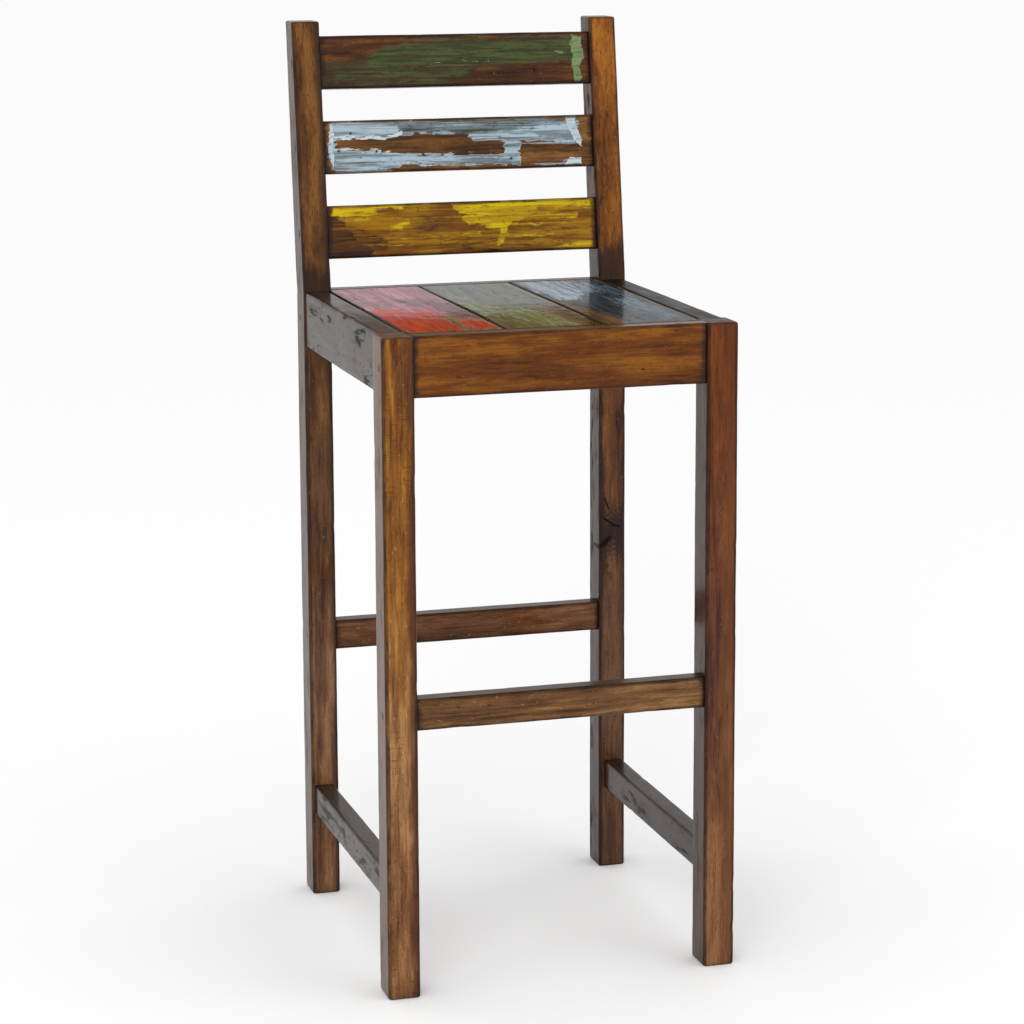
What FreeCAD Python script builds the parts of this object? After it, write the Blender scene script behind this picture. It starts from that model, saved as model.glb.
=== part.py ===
import FreeCAD, Part
import os
import Sketcher

# Bar stool with a slatted back and a footrest, in millimetres.
# +Z is up, the front of the stool faces -Y, and +X is on the right as seen from the front.
# The origin is on the floor, below the centre of the whole stool.
# Left and right in the names are as seen from the front.

doc = FreeCAD.newDocument("bar_stool")
Vector = FreeCAD.Vector
Rotation = FreeCAD.Rotation
Placement = FreeCAD.Placement

# ---------------------------------------------------------------- sizes

SIZES = [
    ("total_height", 1118.0),
    ("seat_height", 785.0),
    ("front_face_y", -248.0),
    ("frame_depth", 455.0),
    ("inner_half_width", 176.0),
    ("front_leg_width", 39.0),
    ("rear_leg_width", 36.0),
    ("leg_depth", 44.0),
    ("post_top_depth", 38.3),
    ("post_setback", 47.0),
    ("kink_height", 783.0),
    ("leg_round", 3.0),
    ("foot_round", 1.5),
    ("apron_inset", 4.0),
    ("cross_apron_height", 72.0),
    ("cross_apron_thick", 24.0),
    ("side_apron_height", 70.0),
    ("side_apron_thick", 30.0),
    ("side_apron_face", 210.0),
    ("rail_round", 2.5),
    ("cross_rail_top", 360.0),
    ("cross_rail_height", 38.0),
    ("cross_rail_thick", 25.0),
    ("cross_rail_inset", 5.0),
    ("side_rail_top", 146.0),
    ("side_rail_height", 38.0),
    ("side_rail_thick", 25.0),
    ("side_rail_face", 208.0),
    ("tenon_thick", 10.0),
    ("tenon_length", 20.0),
    ("tenon_shoulder", 6.0),
    ("mortise_spare", 1.0),
    ("slat_height", 67.0),
    ("slat_thick", 18.0),
    ("slat_inset", 5.0),
    ("slat_first", 42.0),
    ("slat_pitch", 106.0),
    ("slat_tenon_thick", 8.0),
    ("slat_tenon_length", 14.0),
    ("slat_round", 3.0),
    ("board_thick", 20.0),
    ("board_half_span", 178.0),
    ("board_gap", 1.6),
    ("board_round", 1.5),
    ("board_end_gap", 0.5),
    ("notch_gap", 0.5),
    ("batten_width", 24.0),
    ("batten_height", 22.0),
    ("batten_end_gap", 1.0),
    ("screw_shank", 5.0),
    ("screw_bore", 5.2),
    ("screw_head", 8.0),
    ("screw_head_height", 3.0),
    ("screw_head_bore", 8.4),
    ("frame_screw_length", 55.0),
    ("plug_length", 6.0),
    ("plug_diameter", 8.3),
    ("seat_screw_shank", 4.0),
    ("seat_screw_bore", 4.2),
    ("seat_screw_length", 28.0),
    ("batten_screw_length", 32.0),
    ("batten_screw_offset", 120.0),
]

sheet = doc.addObject("Spreadsheet::Sheet", "sizes")
for row, (alias, value) in enumerate(SIZES, start=1):
    sheet.set("A%d" % row, alias)
    sheet.set("B%d" % row, str(value))
    sheet.setAlias("B%d" % row, alias)
doc.recompute()

# An edge at least this long runs the whole length of a timber.
LONG_EDGE = 100.0

# How far an edge may lie from the height at which it is looked for.
LEVEL_TOLERANCE = 0.1

# Every cut takes away more than this volume, in cubic millimetres.
LEAST_CUT = 1.0

# A cutting outline passes the face it starts from by this much.
OVERCUT = "1"


def size(alias):
    """The number behind one alias of the sheet."""
    return float(sheet.get(alias))


def ref(text):
    """Turns @alias in an expression into a reference to the sheet."""
    return text.replace("@", "sizes.")


# ---------------------------------------------------------------- helpers

def new_body(label, base, turn=None):
    """A body whose placement follows the sheet. base is three expressions, turn an angle about -X."""
    body = doc.addObject("PartDesign::Body", label)
    body.Label = label
    if turn is not None:
        body.Placement = Placement(Vector(0, 0, 0), Rotation(Vector(-1, 0, 0), 1.0))
        body.setExpression("Placement.Rotation.Angle", ref(turn))
    for axis, text in zip("xyz", base):
        body.setExpression("Placement.Base." + axis, ref(text))
    return body


def new_sketch(body, name, role, offset=None, turn=None):
    """A sketch on one of the body's own origin planes, moved along the plane's normal by offset."""
    sketch = body.newObject("Sketcher::SketchObject", name)
    plane = [item for item in body.Origin.OriginFeatures if item.Role == role][0]
    sketch.AttachmentSupport = [(plane, "")]
    sketch.MapMode = "FlatFace"
    if turn is not None:
        height, angle = turn
        sketch.AttachmentOffset = Placement(Vector(0, 0, 0), Rotation(Vector(0, 0, -1), 1.0))
        sketch.setExpression("AttachmentOffset.Rotation.Angle", ref(angle))
        sketch.setExpression("AttachmentOffset.Base.y", ref(height))
    if offset is not None:
        sketch.setExpression("AttachmentOffset.Base.z", ref(offset))
    return sketch


def drive(sketch, kind, place, text):
    """Adds a distance constraint whose value is an expression."""
    index = sketch.addConstraint(Sketcher.Constraint(kind, *place, 1.0))
    name = "size_%d" % index
    sketch.renameConstraint(index, name)
    sketch.setExpression("Constraints." + name, ref(text))


def add_polygon(sketch, corners):
    """A closed polygon. Each corner is a pair of expressions from the sketch origin."""
    first = sketch.GeometryCount
    count = len(corners)
    for index, (across, along) in enumerate(corners):
        start = Vector(value_of(across), value_of(along), 0)
        after = corners[(index + 1) % count]
        end = Vector(value_of(after[0]), value_of(after[1]), 0)
        sketch.addGeometry(Part.LineSegment(start, end), False)
    for index in range(count):
        this = first + index
        after = first + (index + 1) % count
        sketch.addConstraint(Sketcher.Constraint("Coincident", this, 2, after, 1))
    for index, (across, along) in enumerate(corners):
        drive(sketch, "DistanceX", (first + index, 1), across)
        drive(sketch, "DistanceY", (first + index, 1), along)


def add_rectangle(sketch, low, high):
    """An upright rectangle between two corners given as expressions."""
    corners = [(low[0], low[1]), (high[0], low[1]), (high[0], high[1]), (low[0], high[1])]
    add_polygon(sketch, corners)


def add_circle(sketch, centre, diameter):
    """A circle, with its centre and diameter given as expressions."""
    middle = Vector(value_of(centre[0]), value_of(centre[1]), 0)
    index = sketch.addGeometry(Part.Circle(middle, Vector(0, 0, 1), value_of(diameter) / 2), False)
    drive(sketch, "DistanceX", (index, 3), centre[0])
    drive(sketch, "DistanceY", (index, 3), centre[1])
    drive(sketch, "Diameter", (index,), diameter)


scratch = doc.addObject("App::FeaturePython", "value_reader")
scratch.addProperty("App::PropertyFloat", "number")


def value_of(text):
    """The present value of one expression, used only to draw the first guess of a sketch."""
    scratch.setExpression("number", ref(text))
    scratch.recompute()
    return float(scratch.number)


def pad(body, sketch, length, both_ways=False, backwards=False):
    feature = body.newObject("PartDesign::Pad", sketch.Name + "_pad")
    feature.Profile = sketch
    feature.setExpression("Length", ref(length))
    if both_ways:
        feature.SideType = "Symmetric"
    feature.Reversed = backwards
    doc.recompute()
    return feature


def pocket(body, sketch, length, backwards=False):
    """Cuts the sketch out of the body, and stops when nothing was cut."""
    before = body.Shape.Volume
    feature = body.newObject("PartDesign::Pocket", sketch.Name + "_cut")
    feature.Profile = sketch
    feature.setExpression("Length", ref(length))
    feature.Reversed = backwards
    doc.recompute()
    if not body.Shape.Volume < before - LEAST_CUT:
        raise RuntimeError("nothing was cut by " + sketch.Name)
    return feature


def fillet(body, radius, chosen, name):
    """Rounds the edges for which chosen(edge) is true on the body so far."""
    base = body.Tip
    names = []
    for index, edge in enumerate(base.Shape.Edges, start=1):
        if chosen(edge):
            names.append("Edge%d" % index)
    feature = body.newObject("PartDesign::Fillet", name)
    feature.Base = (base, names)
    feature.setExpression("Radius", ref(radius))
    doc.recompute()
    return feature


def runs_along(axis, least):
    """Tests an edge for being straight, close to one axis and at least so long."""
    def test(edge):
        if edge.Curve.TypeId != "Part::GeomLine":
            return False
        way = edge.tangentAt(edge.FirstParameter)
        return abs(getattr(way, axis)) > 0.98 and edge.Length > least
    return test


def at_height(level):
    """Tests an edge for lying wholly at one height."""
    def test(edge):
        box = edge.BoundBox
        return box.ZMin > level - LEVEL_TOLERANCE and box.ZMax < level + LEVEL_TOLERANCE
    return test


LEAN = "atan(@post_setback / (@total_height - @kink_height))"

# Each side is a sign: -1 for the side at -X and 1 for the side at +X.
SIDES = (-1, 1)


def side_name(stem, sign):
    """Names a piece by the side of the stool as seen from the front."""
    return "%s_%s" % (stem, "left" if sign < 0 else "right")


# ---------------------------------------------------------------- rails

def cross_rail(label, base, height, thick, turn=None, tenon=None, rounding="@rail_round"):
    """A rail that runs along X between two legs, with a tenon on each end.

    The body's origin is at the rail's lower front edge, half way along it."""
    tenon_thick, tenon_length = tenon or ("@tenon_thick", "@tenon_length")
    body = new_body(label, base, turn)
    section = new_sketch(body, label + "_section", "YZ_Plane")
    add_rectangle(section, ("0", "0"), (thick, height))
    pad(body, section, "2 * @inner_half_width", both_ways=True)
    fillet(body, rounding, runs_along("x", LONG_EDGE), label + "_arris")
    inner = new_sketch(body, label + "_tenons", "YZ_Plane")
    low = "(%s - %s) / 2" % (thick, tenon_thick)
    high = "(%s + %s) / 2" % (thick, tenon_thick)
    add_rectangle(inner, (low, "@tenon_shoulder"), (high, "%s - @tenon_shoulder" % height))
    pad(body, inner, "2 * (@inner_half_width + %s)" % tenon_length, both_ways=True)
    return body


def end_bores(body, label, centre, tenon_length, reach):
    """A screw hole into the end of each tenon of a cross rail, to a depth of reach past the leg's face."""
    for sign in SIDES:
        end = "%d * (@inner_half_width + %s)" % (sign, tenon_length)
        sketch = new_sketch(body, side_name(label + "_bore", sign), "YZ_Plane", offset=end)
        add_circle(sketch, centre, "@screw_shank")
        pocket(body, sketch, "%s + %s" % (tenon_length, reach), backwards=sign < 0)


def side_rail(label, sign, face, top, height, thick):
    """A rail that runs along Y from a front leg to a rear leg, with a tenon on each end.

    The body's origin is at the lower corner of its outer face, half way along it."""
    middle = "@front_face_y + @frame_depth / 2"
    body = new_body(label, ("%d * %s" % (sign, face), middle, "%s - %s" % (top, height)))
    length = "@frame_depth - 2 * @leg_depth"
    section = new_sketch(body, label + "_section", "XZ_Plane")
    inner = "%d * %s" % (-sign, thick)
    add_rectangle(section, ("0", "0"), (inner, height))
    pad(body, section, length, both_ways=True)
    fillet(body, "@rail_round", runs_along("y", LONG_EDGE), label + "_arris")
    tenons = new_sketch(body, label + "_tenons", "XZ_Plane")
    low = "%d * (%s - @tenon_thick) / 2" % (-sign, thick)
    high = "%d * (%s + @tenon_thick) / 2" % (-sign, thick)
    add_rectangle(tenons, (low, "@tenon_shoulder"), (high, "%s - @tenon_shoulder" % height))
    pad(body, tenons, "%s + 2 * @tenon_length" % length, both_ways=True)
    return body


FRONT_REACH = "@frame_screw_length - @front_leg_width + @plug_length"
REAR_REACH = "@frame_screw_length - @rear_leg_width + @plug_length"

front_apron = cross_rail(
    "front_apron",
    ("0", "@front_face_y + @apron_inset", "@seat_height - @cross_apron_height"),
    "@cross_apron_height",
    "@cross_apron_thick",
)
end_bores(front_apron, "front_apron", ("@cross_apron_thick / 2", "@cross_apron_height / 2"),
          "@tenon_length", FRONT_REACH)

rear_apron = cross_rail(
    "rear_apron",
    (
        "0",
        "@front_face_y + @frame_depth - @apron_inset - @cross_apron_thick",
        "@seat_height - @cross_apron_height",
    ),
    "@cross_apron_height",
    "@cross_apron_thick",
)
end_bores(rear_apron, "rear_apron", ("@cross_apron_thick / 2", "@cross_apron_height / 2"),
          "@tenon_length", REAR_REACH)

footrest = cross_rail(
    "footrest",
    ("0", "@front_face_y + @cross_rail_inset", "@cross_rail_top - @cross_rail_height"),
    "@cross_rail_height",
    "@cross_rail_thick",
)
end_bores(footrest, "footrest", ("@cross_rail_thick / 2", "@cross_rail_height / 2"),
          "@tenon_length", FRONT_REACH)

rear_stretcher = cross_rail(
    "rear_stretcher",
    (
        "0",
        "@front_face_y + @frame_depth - @leg_depth + @cross_rail_inset",
        "@cross_rail_top - @cross_rail_height",
    ),
    "@cross_rail_height",
    "@cross_rail_thick",
)
end_bores(rear_stretcher, "rear_stretcher", ("@cross_rail_thick / 2", "@cross_rail_height / 2"),
          "@tenon_length", REAR_REACH)

for sign in SIDES:
    side_rail(side_name("side_apron", sign), sign, "@side_apron_face", "@seat_height",
              "@side_apron_height", "@side_apron_thick")
    side_rail(side_name("side_stretcher", sign), sign, "@side_rail_face", "@side_rail_top",
              "@side_rail_height", "@side_rail_thick")

# ---------------------------------------------------------------- back slats

SLATS = ("back_slat_bottom", "back_slat_middle", "back_slat_top")
KINK_Y = "@front_face_y + @frame_depth - @leg_depth"

for index, label in enumerate(SLATS):
    start = "(@slat_first + %d * @slat_pitch)" % index
    across = "%s + @slat_inset * cos(%s) + %s * sin(%s)" % (KINK_Y, LEAN, start, LEAN)
    upward = "@kink_height - @slat_inset * sin(%s) + %s * cos(%s)" % (LEAN, start, LEAN)
    slat = cross_rail(label, ("0", across, upward), "@slat_height", "@slat_thick", turn=LEAN,
                      tenon=("@slat_tenon_thick", "@slat_tenon_length"), rounding="@slat_round")
    end_bores(slat, label, ("@slat_thick / 2", "@slat_height / 2"), "@slat_tenon_length",
              REAR_REACH)

# ---------------------------------------------------------------- legs


def leg_screw_bore(body, label, sign, centre, width, turn=None):
    """A counterbored screw hole from the outer face of a leg, for a cross rail."""
    outer = "%d * %s" % (sign, width)
    head = new_sketch(body, label + "_counterbore", "YZ_Plane", offset=outer, turn=turn)
    add_circle(head, centre, "@screw_head_bore")
    pocket(body, head, "@plug_length + @screw_head_height", backwards=sign < 0)
    shank = new_sketch(body, label + "_shank", "YZ_Plane", offset=outer, turn=turn)
    add_circle(shank, centre, "@screw_bore")
    pocket(body, shank, width, backwards=sign < 0)


def leg_cross_mortise(body, label, sign, front, thick, bottom, height, turn=None, tenon=None):
    """A mortise in the inner face of a leg, for the tenon of a cross rail."""
    tenon_thick, tenon_length = tenon or ("@tenon_thick", "@tenon_length")
    sketch = new_sketch(body, label + "_mortise", "YZ_Plane", turn=turn)
    low = "%s + (%s - %s) / 2" % (front, thick, tenon_thick)
    high = "%s + (%s + %s) / 2" % (front, thick, tenon_thick)
    add_rectangle(sketch, (low, "%s + @tenon_shoulder" % bottom),
                  (high, "%s + %s - @tenon_shoulder" % (bottom, height)))
    pocket(body, sketch, "%s + @mortise_spare" % tenon_length, backwards=sign > 0)


def leg_side_mortise(body, label, sign, face, thick, top, height, backwards):
    """A mortise in the front or back face of a leg, for the tenon of a side rail."""
    sketch = new_sketch(body, label + "_mortise", "XZ_Plane")
    low = "%d * (%s - @inner_half_width - (%s - @tenon_thick) / 2)" % (sign, face, thick)
    high = "%d * (%s - @inner_half_width - (%s + @tenon_thick) / 2)" % (sign, face, thick)
    add_rectangle(sketch, (low, "%s - %s + @tenon_shoulder" % (top, height)),
                  (high, "%s - @tenon_shoulder" % top))
    pocket(body, sketch, "@tenon_length + @mortise_spare", backwards=backwards)


def side_mortises(body, label, sign, backwards):
    leg_side_mortise(body, label + "_side_apron", sign, "@side_apron_face", "@side_apron_thick",
                     "@seat_height", "@side_apron_height", backwards)
    leg_side_mortise(body, label + "_side_stretcher", sign, "@side_rail_face", "@side_rail_thick",
                     "@side_rail_top", "@side_rail_height", backwards)


def front_leg(sign):
    """A straight leg. The body's origin is on the floor, at the leg's inner back edge."""
    label = side_name("front_leg", sign)
    back = "@front_face_y + @leg_depth"
    body = new_body(label, ("%d * @inner_half_width" % sign, back, "0"))
    section = new_sketch(body, label + "_section", "XY_Plane")
    add_rectangle(section, ("0", "-@leg_depth"), ("%d * @front_leg_width" % sign, "0"))
    pad(body, section, "@seat_height")
    fillet(body, "@leg_round", runs_along("z", LONG_EDGE), label + "_arris")
    top = size("seat_height")
    fillet(body, "@leg_round", at_height(top), label + "_top")
    fillet(body, "@foot_round", at_height(0.0), label + "_foot")
    side_mortises(body, label, sign, backwards=True)
    rails = (
        ("apron", "@apron_inset", "@cross_apron_thick", "@seat_height", "@cross_apron_height"),
        ("footrest", "@cross_rail_inset", "@cross_rail_thick", "@cross_rail_top", "@cross_rail_height"),
    )
    for rail, inset, thick, top_edge, height in rails:
        front = "%s - @leg_depth" % inset
        name = "%s_%s" % (label, rail)
        leg_cross_mortise(body, name, sign, front, thick, "%s - %s" % (top_edge, height), height)
        centre = ("%s + %s / 2" % (front, thick), "%s - %s / 2" % (top_edge, height))
        leg_screw_bore(body, name, sign, centre, "@front_leg_width")
    return body


def rear_leg(sign):
    """A leg that goes on as a leaning back post.

    The body's origin is on the floor, at the leg's inner front edge."""
    label = side_name("rear_leg", sign)
    body = new_body(label, ("%d * @inner_half_width" % sign, KINK_Y, "0"))
    profile = new_sketch(body, label + "_profile", "YZ_Plane")
    add_polygon(profile, [
        ("0", "0"),
        ("@leg_depth", "0"),
        ("@leg_depth", "@kink_height - @leg_depth * tan(%s / 2)" % LEAN),
        ("@post_setback + @post_top_depth", "@total_height"),
        ("@post_setback", "@total_height"),
        ("0", "@kink_height"),
    ])
    pad(body, profile, "@rear_leg_width", backwards=sign < 0)
    fillet(body, "@leg_round", runs_along("z", LONG_EDGE), label + "_arris")
    top = size("total_height")
    fillet(body, "@leg_round", at_height(top), label + "_top")
    fillet(body, "@foot_round", at_height(0.0), label + "_foot")
    side_mortises(body, label, sign, backwards=False)
    rails = (
        ("apron", "@leg_depth - @apron_inset - @cross_apron_thick", "@cross_apron_thick",
         "@seat_height", "@cross_apron_height"),
        ("stretcher", "@cross_rail_inset", "@cross_rail_thick",
         "@cross_rail_top", "@cross_rail_height"),
    )
    for rail, front, thick, top_edge, height in rails:
        name = "%s_%s" % (label, rail)
        leg_cross_mortise(body, name, sign, front, thick, "%s - %s" % (top_edge, height), height)
        centre = ("%s + %s / 2" % (front, thick), "%s - %s / 2" % (top_edge, height))
        leg_screw_bore(body, name, sign, centre, "@rear_leg_width")
    tilted = ("@kink_height", LEAN)
    for index, slat in enumerate(SLATS):
        start = "(@slat_first + %d * @slat_pitch)" % index
        name = "%s_%s" % (label, slat)
        leg_cross_mortise(body, name, sign, "@slat_inset", "@slat_thick", start, "@slat_height",
                          turn=tilted, tenon=("@slat_tenon_thick", "@slat_tenon_length"))
        centre = ("@slat_inset + @slat_thick / 2", "%s + @slat_height / 2" % start)
        leg_screw_bore(body, name, sign, centre, "@rear_leg_width", turn=tilted)
    return body


for sign in SIDES:
    front_leg(sign)
    rear_leg(sign)

# ---------------------------------------------------------------- seat

BOARD_WIDTH = "(2 * @board_half_span - 2 * @board_gap) / 3"
BOARD_FRONT = "@front_face_y + @apron_inset + @cross_apron_thick + @board_end_gap"
BOARD_LENGTH = "(@frame_depth - 2 * (@apron_inset + @cross_apron_thick + @board_end_gap))"
BATTEN_HOLE_Y = "@batten_width / 2 - @board_end_gap"

# Each board has two screws at each end, at these shares of its width.
SCREW_SPREAD = (0.25, 0.75)

for index, place in enumerate(("left", "centre", "right")):
    label = "seat_board_" + place
    left = "-@board_half_span + %d * (%s + @board_gap)" % (index, BOARD_WIDTH)
    board = new_body(label, (left, BOARD_FRONT, "@seat_height - @board_thick"))
    outline = new_sketch(board, label + "_outline", "XY_Plane")
    add_rectangle(outline, ("0", "0"), (BOARD_WIDTH, BOARD_LENGTH))
    pad(board, outline, "@board_thick")
    top = size("board_thick")
    fillet(board, "@board_round", at_height(top), label + "_arris")
    if place != "centre":
        # The outer boards are notched round the inner corners of the legs.
        notch = "@board_half_span - @inner_half_width + @notch_gap"
        front_depth = "@leg_depth - @apron_inset - @cross_apron_thick - @board_end_gap + @notch_gap"
        notches = new_sketch(board, label + "_notches", "XY_Plane")
        outer = "-" + OVERCUT if place == "left" else "%s + %s" % (BOARD_WIDTH, OVERCUT)
        inner = notch if place == "left" else "%s - (%s)" % (BOARD_WIDTH, notch)
        add_rectangle(notches, (outer, "-" + OVERCUT), (inner, front_depth))
        add_rectangle(notches, (outer, "%s - (%s)" % (BOARD_LENGTH, front_depth)),
                      (inner, "%s + %s" % (BOARD_LENGTH, OVERCUT)))
        pocket(board, notches, "@board_thick", backwards=True)
    pilots = new_sketch(board, label + "_pilots", "XY_Plane")
    for share in SCREW_SPREAD:
        for hole_y in (BATTEN_HOLE_Y, "%s - (%s)" % (BOARD_LENGTH, BATTEN_HOLE_Y)):
            add_circle(pilots, ("%s * %g" % (BOARD_WIDTH, share), hole_y), "@seat_screw_shank")
    depth = "@seat_screw_length - @batten_height + @screw_head_height"
    pocket(board, pilots, depth, backwards=True)

# The battens lie under the boards, against the inner faces of the cross aprons.
BATTEN_Z = "@seat_height - @board_thick - @batten_height"
BATTEN_HALF = "(@side_apron_face - @side_apron_thick - @batten_end_gap)"
BATTENS = (
    ("seat_batten_front", "@front_face_y + @apron_inset + @cross_apron_thick", 1),
    ("seat_batten_rear", "@front_face_y + @frame_depth - @apron_inset - @cross_apron_thick", -1),
)
BOARD_STARTS = ["-@board_half_span + %d * (%s + @board_gap)" % (n, BOARD_WIDTH) for n in range(3)]
BATTEN_SCREW_X = ("-@batten_screw_offset", "0", "@batten_screw_offset")

for label, face, way in BATTENS:
    batten = new_body(label, ("0", face, BATTEN_Z))
    near = "0"
    far = "%d * @batten_width" % way
    outline = new_sketch(batten, label + "_outline", "XY_Plane")
    add_rectangle(outline, ("-" + BATTEN_HALF, near), (BATTEN_HALF, far))
    pad(batten, outline, "@batten_height")
    # Each end is cut away round the inner corner of a leg.
    ends = new_sketch(batten, label + "_ends", "XY_Plane")
    for sign in SIDES:
        outer = "%d * (%s + %s)" % (sign, BATTEN_HALF, OVERCUT)
        inner = "%d * (@inner_half_width - @notch_gap)" % sign
        depth = "@leg_depth - @apron_inset - @cross_apron_thick + @notch_gap"
        add_rectangle(ends, (outer, "%d * %s" % (-way, OVERCUT)), (inner, "%d * (%s)" % (way, depth)))
    pocket(batten, ends, "@batten_height", backwards=True)
    heads = new_sketch(batten, label + "_heads", "XY_Plane")
    shanks = new_sketch(batten, label + "_shanks", "XY_Plane")
    for start in BOARD_STARTS:
        for share in SCREW_SPREAD:
            centre = ("%s + %s * %g" % (start, BOARD_WIDTH, share), "%d * @batten_width / 2" % way)
            add_circle(heads, centre, "@screw_head_bore")
            add_circle(shanks, centre, "@seat_screw_bore")
    pocket(batten, heads, "@screw_head_height", backwards=True)
    pocket(batten, shanks, "@batten_height", backwards=True)
    across = new_sketch(batten, label + "_apron_holes", "XZ_Plane")
    sunk = new_sketch(batten, label + "_apron_heads", "XZ_Plane", offset="%d * @batten_width" % -way)
    for place in BATTEN_SCREW_X:
        add_circle(across, (place, "@batten_height / 2"), "@seat_screw_bore")
        add_circle(sunk, (place, "@batten_height / 2"), "@screw_head_bore")
    pocket(batten, across, "@batten_width", backwards=way < 0)
    pocket(batten, sunk, "@screw_head_height", backwards=way > 0)

# Pilot holes for the batten screws in the inner faces of the cross aprons.
for apron, face, way in ((front_apron, "-@cross_apron_thick", 1), (rear_apron, "0", -1)):
    sketch = new_sketch(apron, apron.Label + "_pilots", "XZ_Plane", offset=face)
    height = "@cross_apron_height - @board_thick - @batten_height / 2"
    for place in BATTEN_SCREW_X:
        add_circle(sketch, (place, height), "@seat_screw_shank")
    depth = "@batten_screw_length - @batten_width + @screw_head_height"
    pocket(apron, sketch, depth, backwards=way > 0)

# ---------------------------------------------------------------- screws and plugs


def cylinder(name, diameter, length):
    """A Part cylinder along its own +Z."""
    item = doc.addObject("Part::Cylinder", name)
    item.setExpression("Radius", ref("%s / 2" % diameter))
    item.setExpression("Height", ref(length))
    return item


def screw(name, seat, way, shank, length):
    """A screw whose head starts at seat and which is driven along way. Its thread is left plain."""
    head = cylinder(name + "_head", "@screw_head", "@screw_head_height")
    stem = cylinder(name + "_stem", shank, length)
    whole = doc.addObject("Part::Fuse", name)
    whole.Base = head
    whole.Tool = stem
    whole.Placement = Placement(seat, Rotation(Vector(0, 0, 1), way))
    return whole


def group(label, items):
    """One node that holds several separate solids."""
    item = doc.addObject("Part::Compound", label)
    item.Label = label
    item.Links = items
    doc.recompute()
    return item


front = size("front_face_y")
depth = size("frame_depth")
seat_z = size("seat_height")
rear_front = front + depth - size("leg_depth")
apron_half = size("cross_apron_thick") / 2
rail_half = size("cross_rail_thick") / 2
apron_z = seat_z - size("cross_apron_height") / 2
rail_z = size("cross_rail_top") - size("cross_rail_height") / 2
front_x = size("inner_half_width") + size("front_leg_width")
rear_x = size("inner_half_width") + size("rear_leg_width")

joints = [
    ("front_apron", front_x, front + size("apron_inset") + apron_half, apron_z),
    ("footrest", front_x, front + size("cross_rail_inset") + rail_half, rail_z),
    ("rear_apron", rear_x, front + depth - size("apron_inset") - apron_half, apron_z),
    ("rear_stretcher", rear_x, rear_front + size("cross_rail_inset") + rail_half, rail_z),
]
lean = Rotation(Vector(-1, 0, 0), value_of(LEAN))
for index, label in enumerate(SLATS):
    along = size("slat_first") + index * size("slat_pitch") + size("slat_height") / 2
    inward = size("slat_inset") + size("slat_thick") / 2
    point = lean.multVec(Vector(0, inward, along))
    joints.append((label, rear_x, rear_front + point.y, size("kink_height") + point.z))

frame_screws = []
screw_plugs = []
for label, outer, place_y, place_z in joints:
    for sign in SIDES:
        way = Vector(-sign, 0, 0)
        face = Vector(sign * outer, place_y, place_z)
        sunk = face + way * size("plug_length")
        name = side_name(label + "_screw", sign)
        frame_screws.append(screw(name, sunk, way, "@screw_shank", "@frame_screw_length"))
        plug = cylinder(side_name(label + "_plug", sign), "@plug_diameter", "@plug_length")
        plug.Placement = Placement(face, Rotation(Vector(0, 0, 1), way))
        screw_plugs.append(plug)

board_width = value_of(BOARD_WIDTH)
under_batten = seat_z - size("board_thick") - size("batten_height")
inner_front = front + size("apron_inset") + size("cross_apron_thick")
inner_rear = front + depth - size("apron_inset") - size("cross_apron_thick")
seat_screws = []
batten_screws = []
for row, (face_y, way) in enumerate(((inner_front, 1), (inner_rear, -1))):
    for start_index, start in enumerate(BOARD_STARTS):
        for share in SCREW_SPREAD:
            place_x = value_of(start) + share * board_width
            point = Vector(place_x, face_y + way * size("batten_width") / 2, under_batten)
            name = "seat_screw_%d_%d_%d" % (row, start_index, round(share * 100))
            upright = Vector(0, 0, 1)
            seat_screws.append(screw(name, point, upright, "@seat_screw_shank", "@seat_screw_length"))
    for index, place in enumerate(BATTEN_SCREW_X):
        point = Vector(value_of(place), face_y + way * size("batten_width"),
                       under_batten + size("batten_height") / 2)
        name = "batten_screw_%d_%d" % (row, index)
        inward = Vector(0, -way, 0)
        batten_screws.append(screw(name, point, inward, "@seat_screw_shank", "@batten_screw_length"))

doc.recompute()
group("frame_screws", frame_screws)
group("screw_plugs", screw_plugs)
group("seat_screws", seat_screws)
group("batten_screws", batten_screws)
doc.removeObject(scratch.Name)
doc.recompute()

# ---------------------------------------------------------------- export

for item in doc.Objects:
    if "Invalid" in item.State or "Error" in item.State:
        raise RuntimeError("not computed: " + item.Name)

nodes = [item for item in doc.Objects if item.TypeId in ("PartDesign::Body", "Part::Compound")]
os.makedirs("parts", exist_ok=True)
for item in nodes:
    if item.Shape.isNull() or not item.Shape.isValid():
        raise RuntimeError("bad shape: " + item.Label)
    item.Shape.exportStep("parts/%s.step" % item.Label)
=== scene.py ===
import math

import bmesh
import bpy
from mathutils import Vector, Matrix, noise


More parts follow.
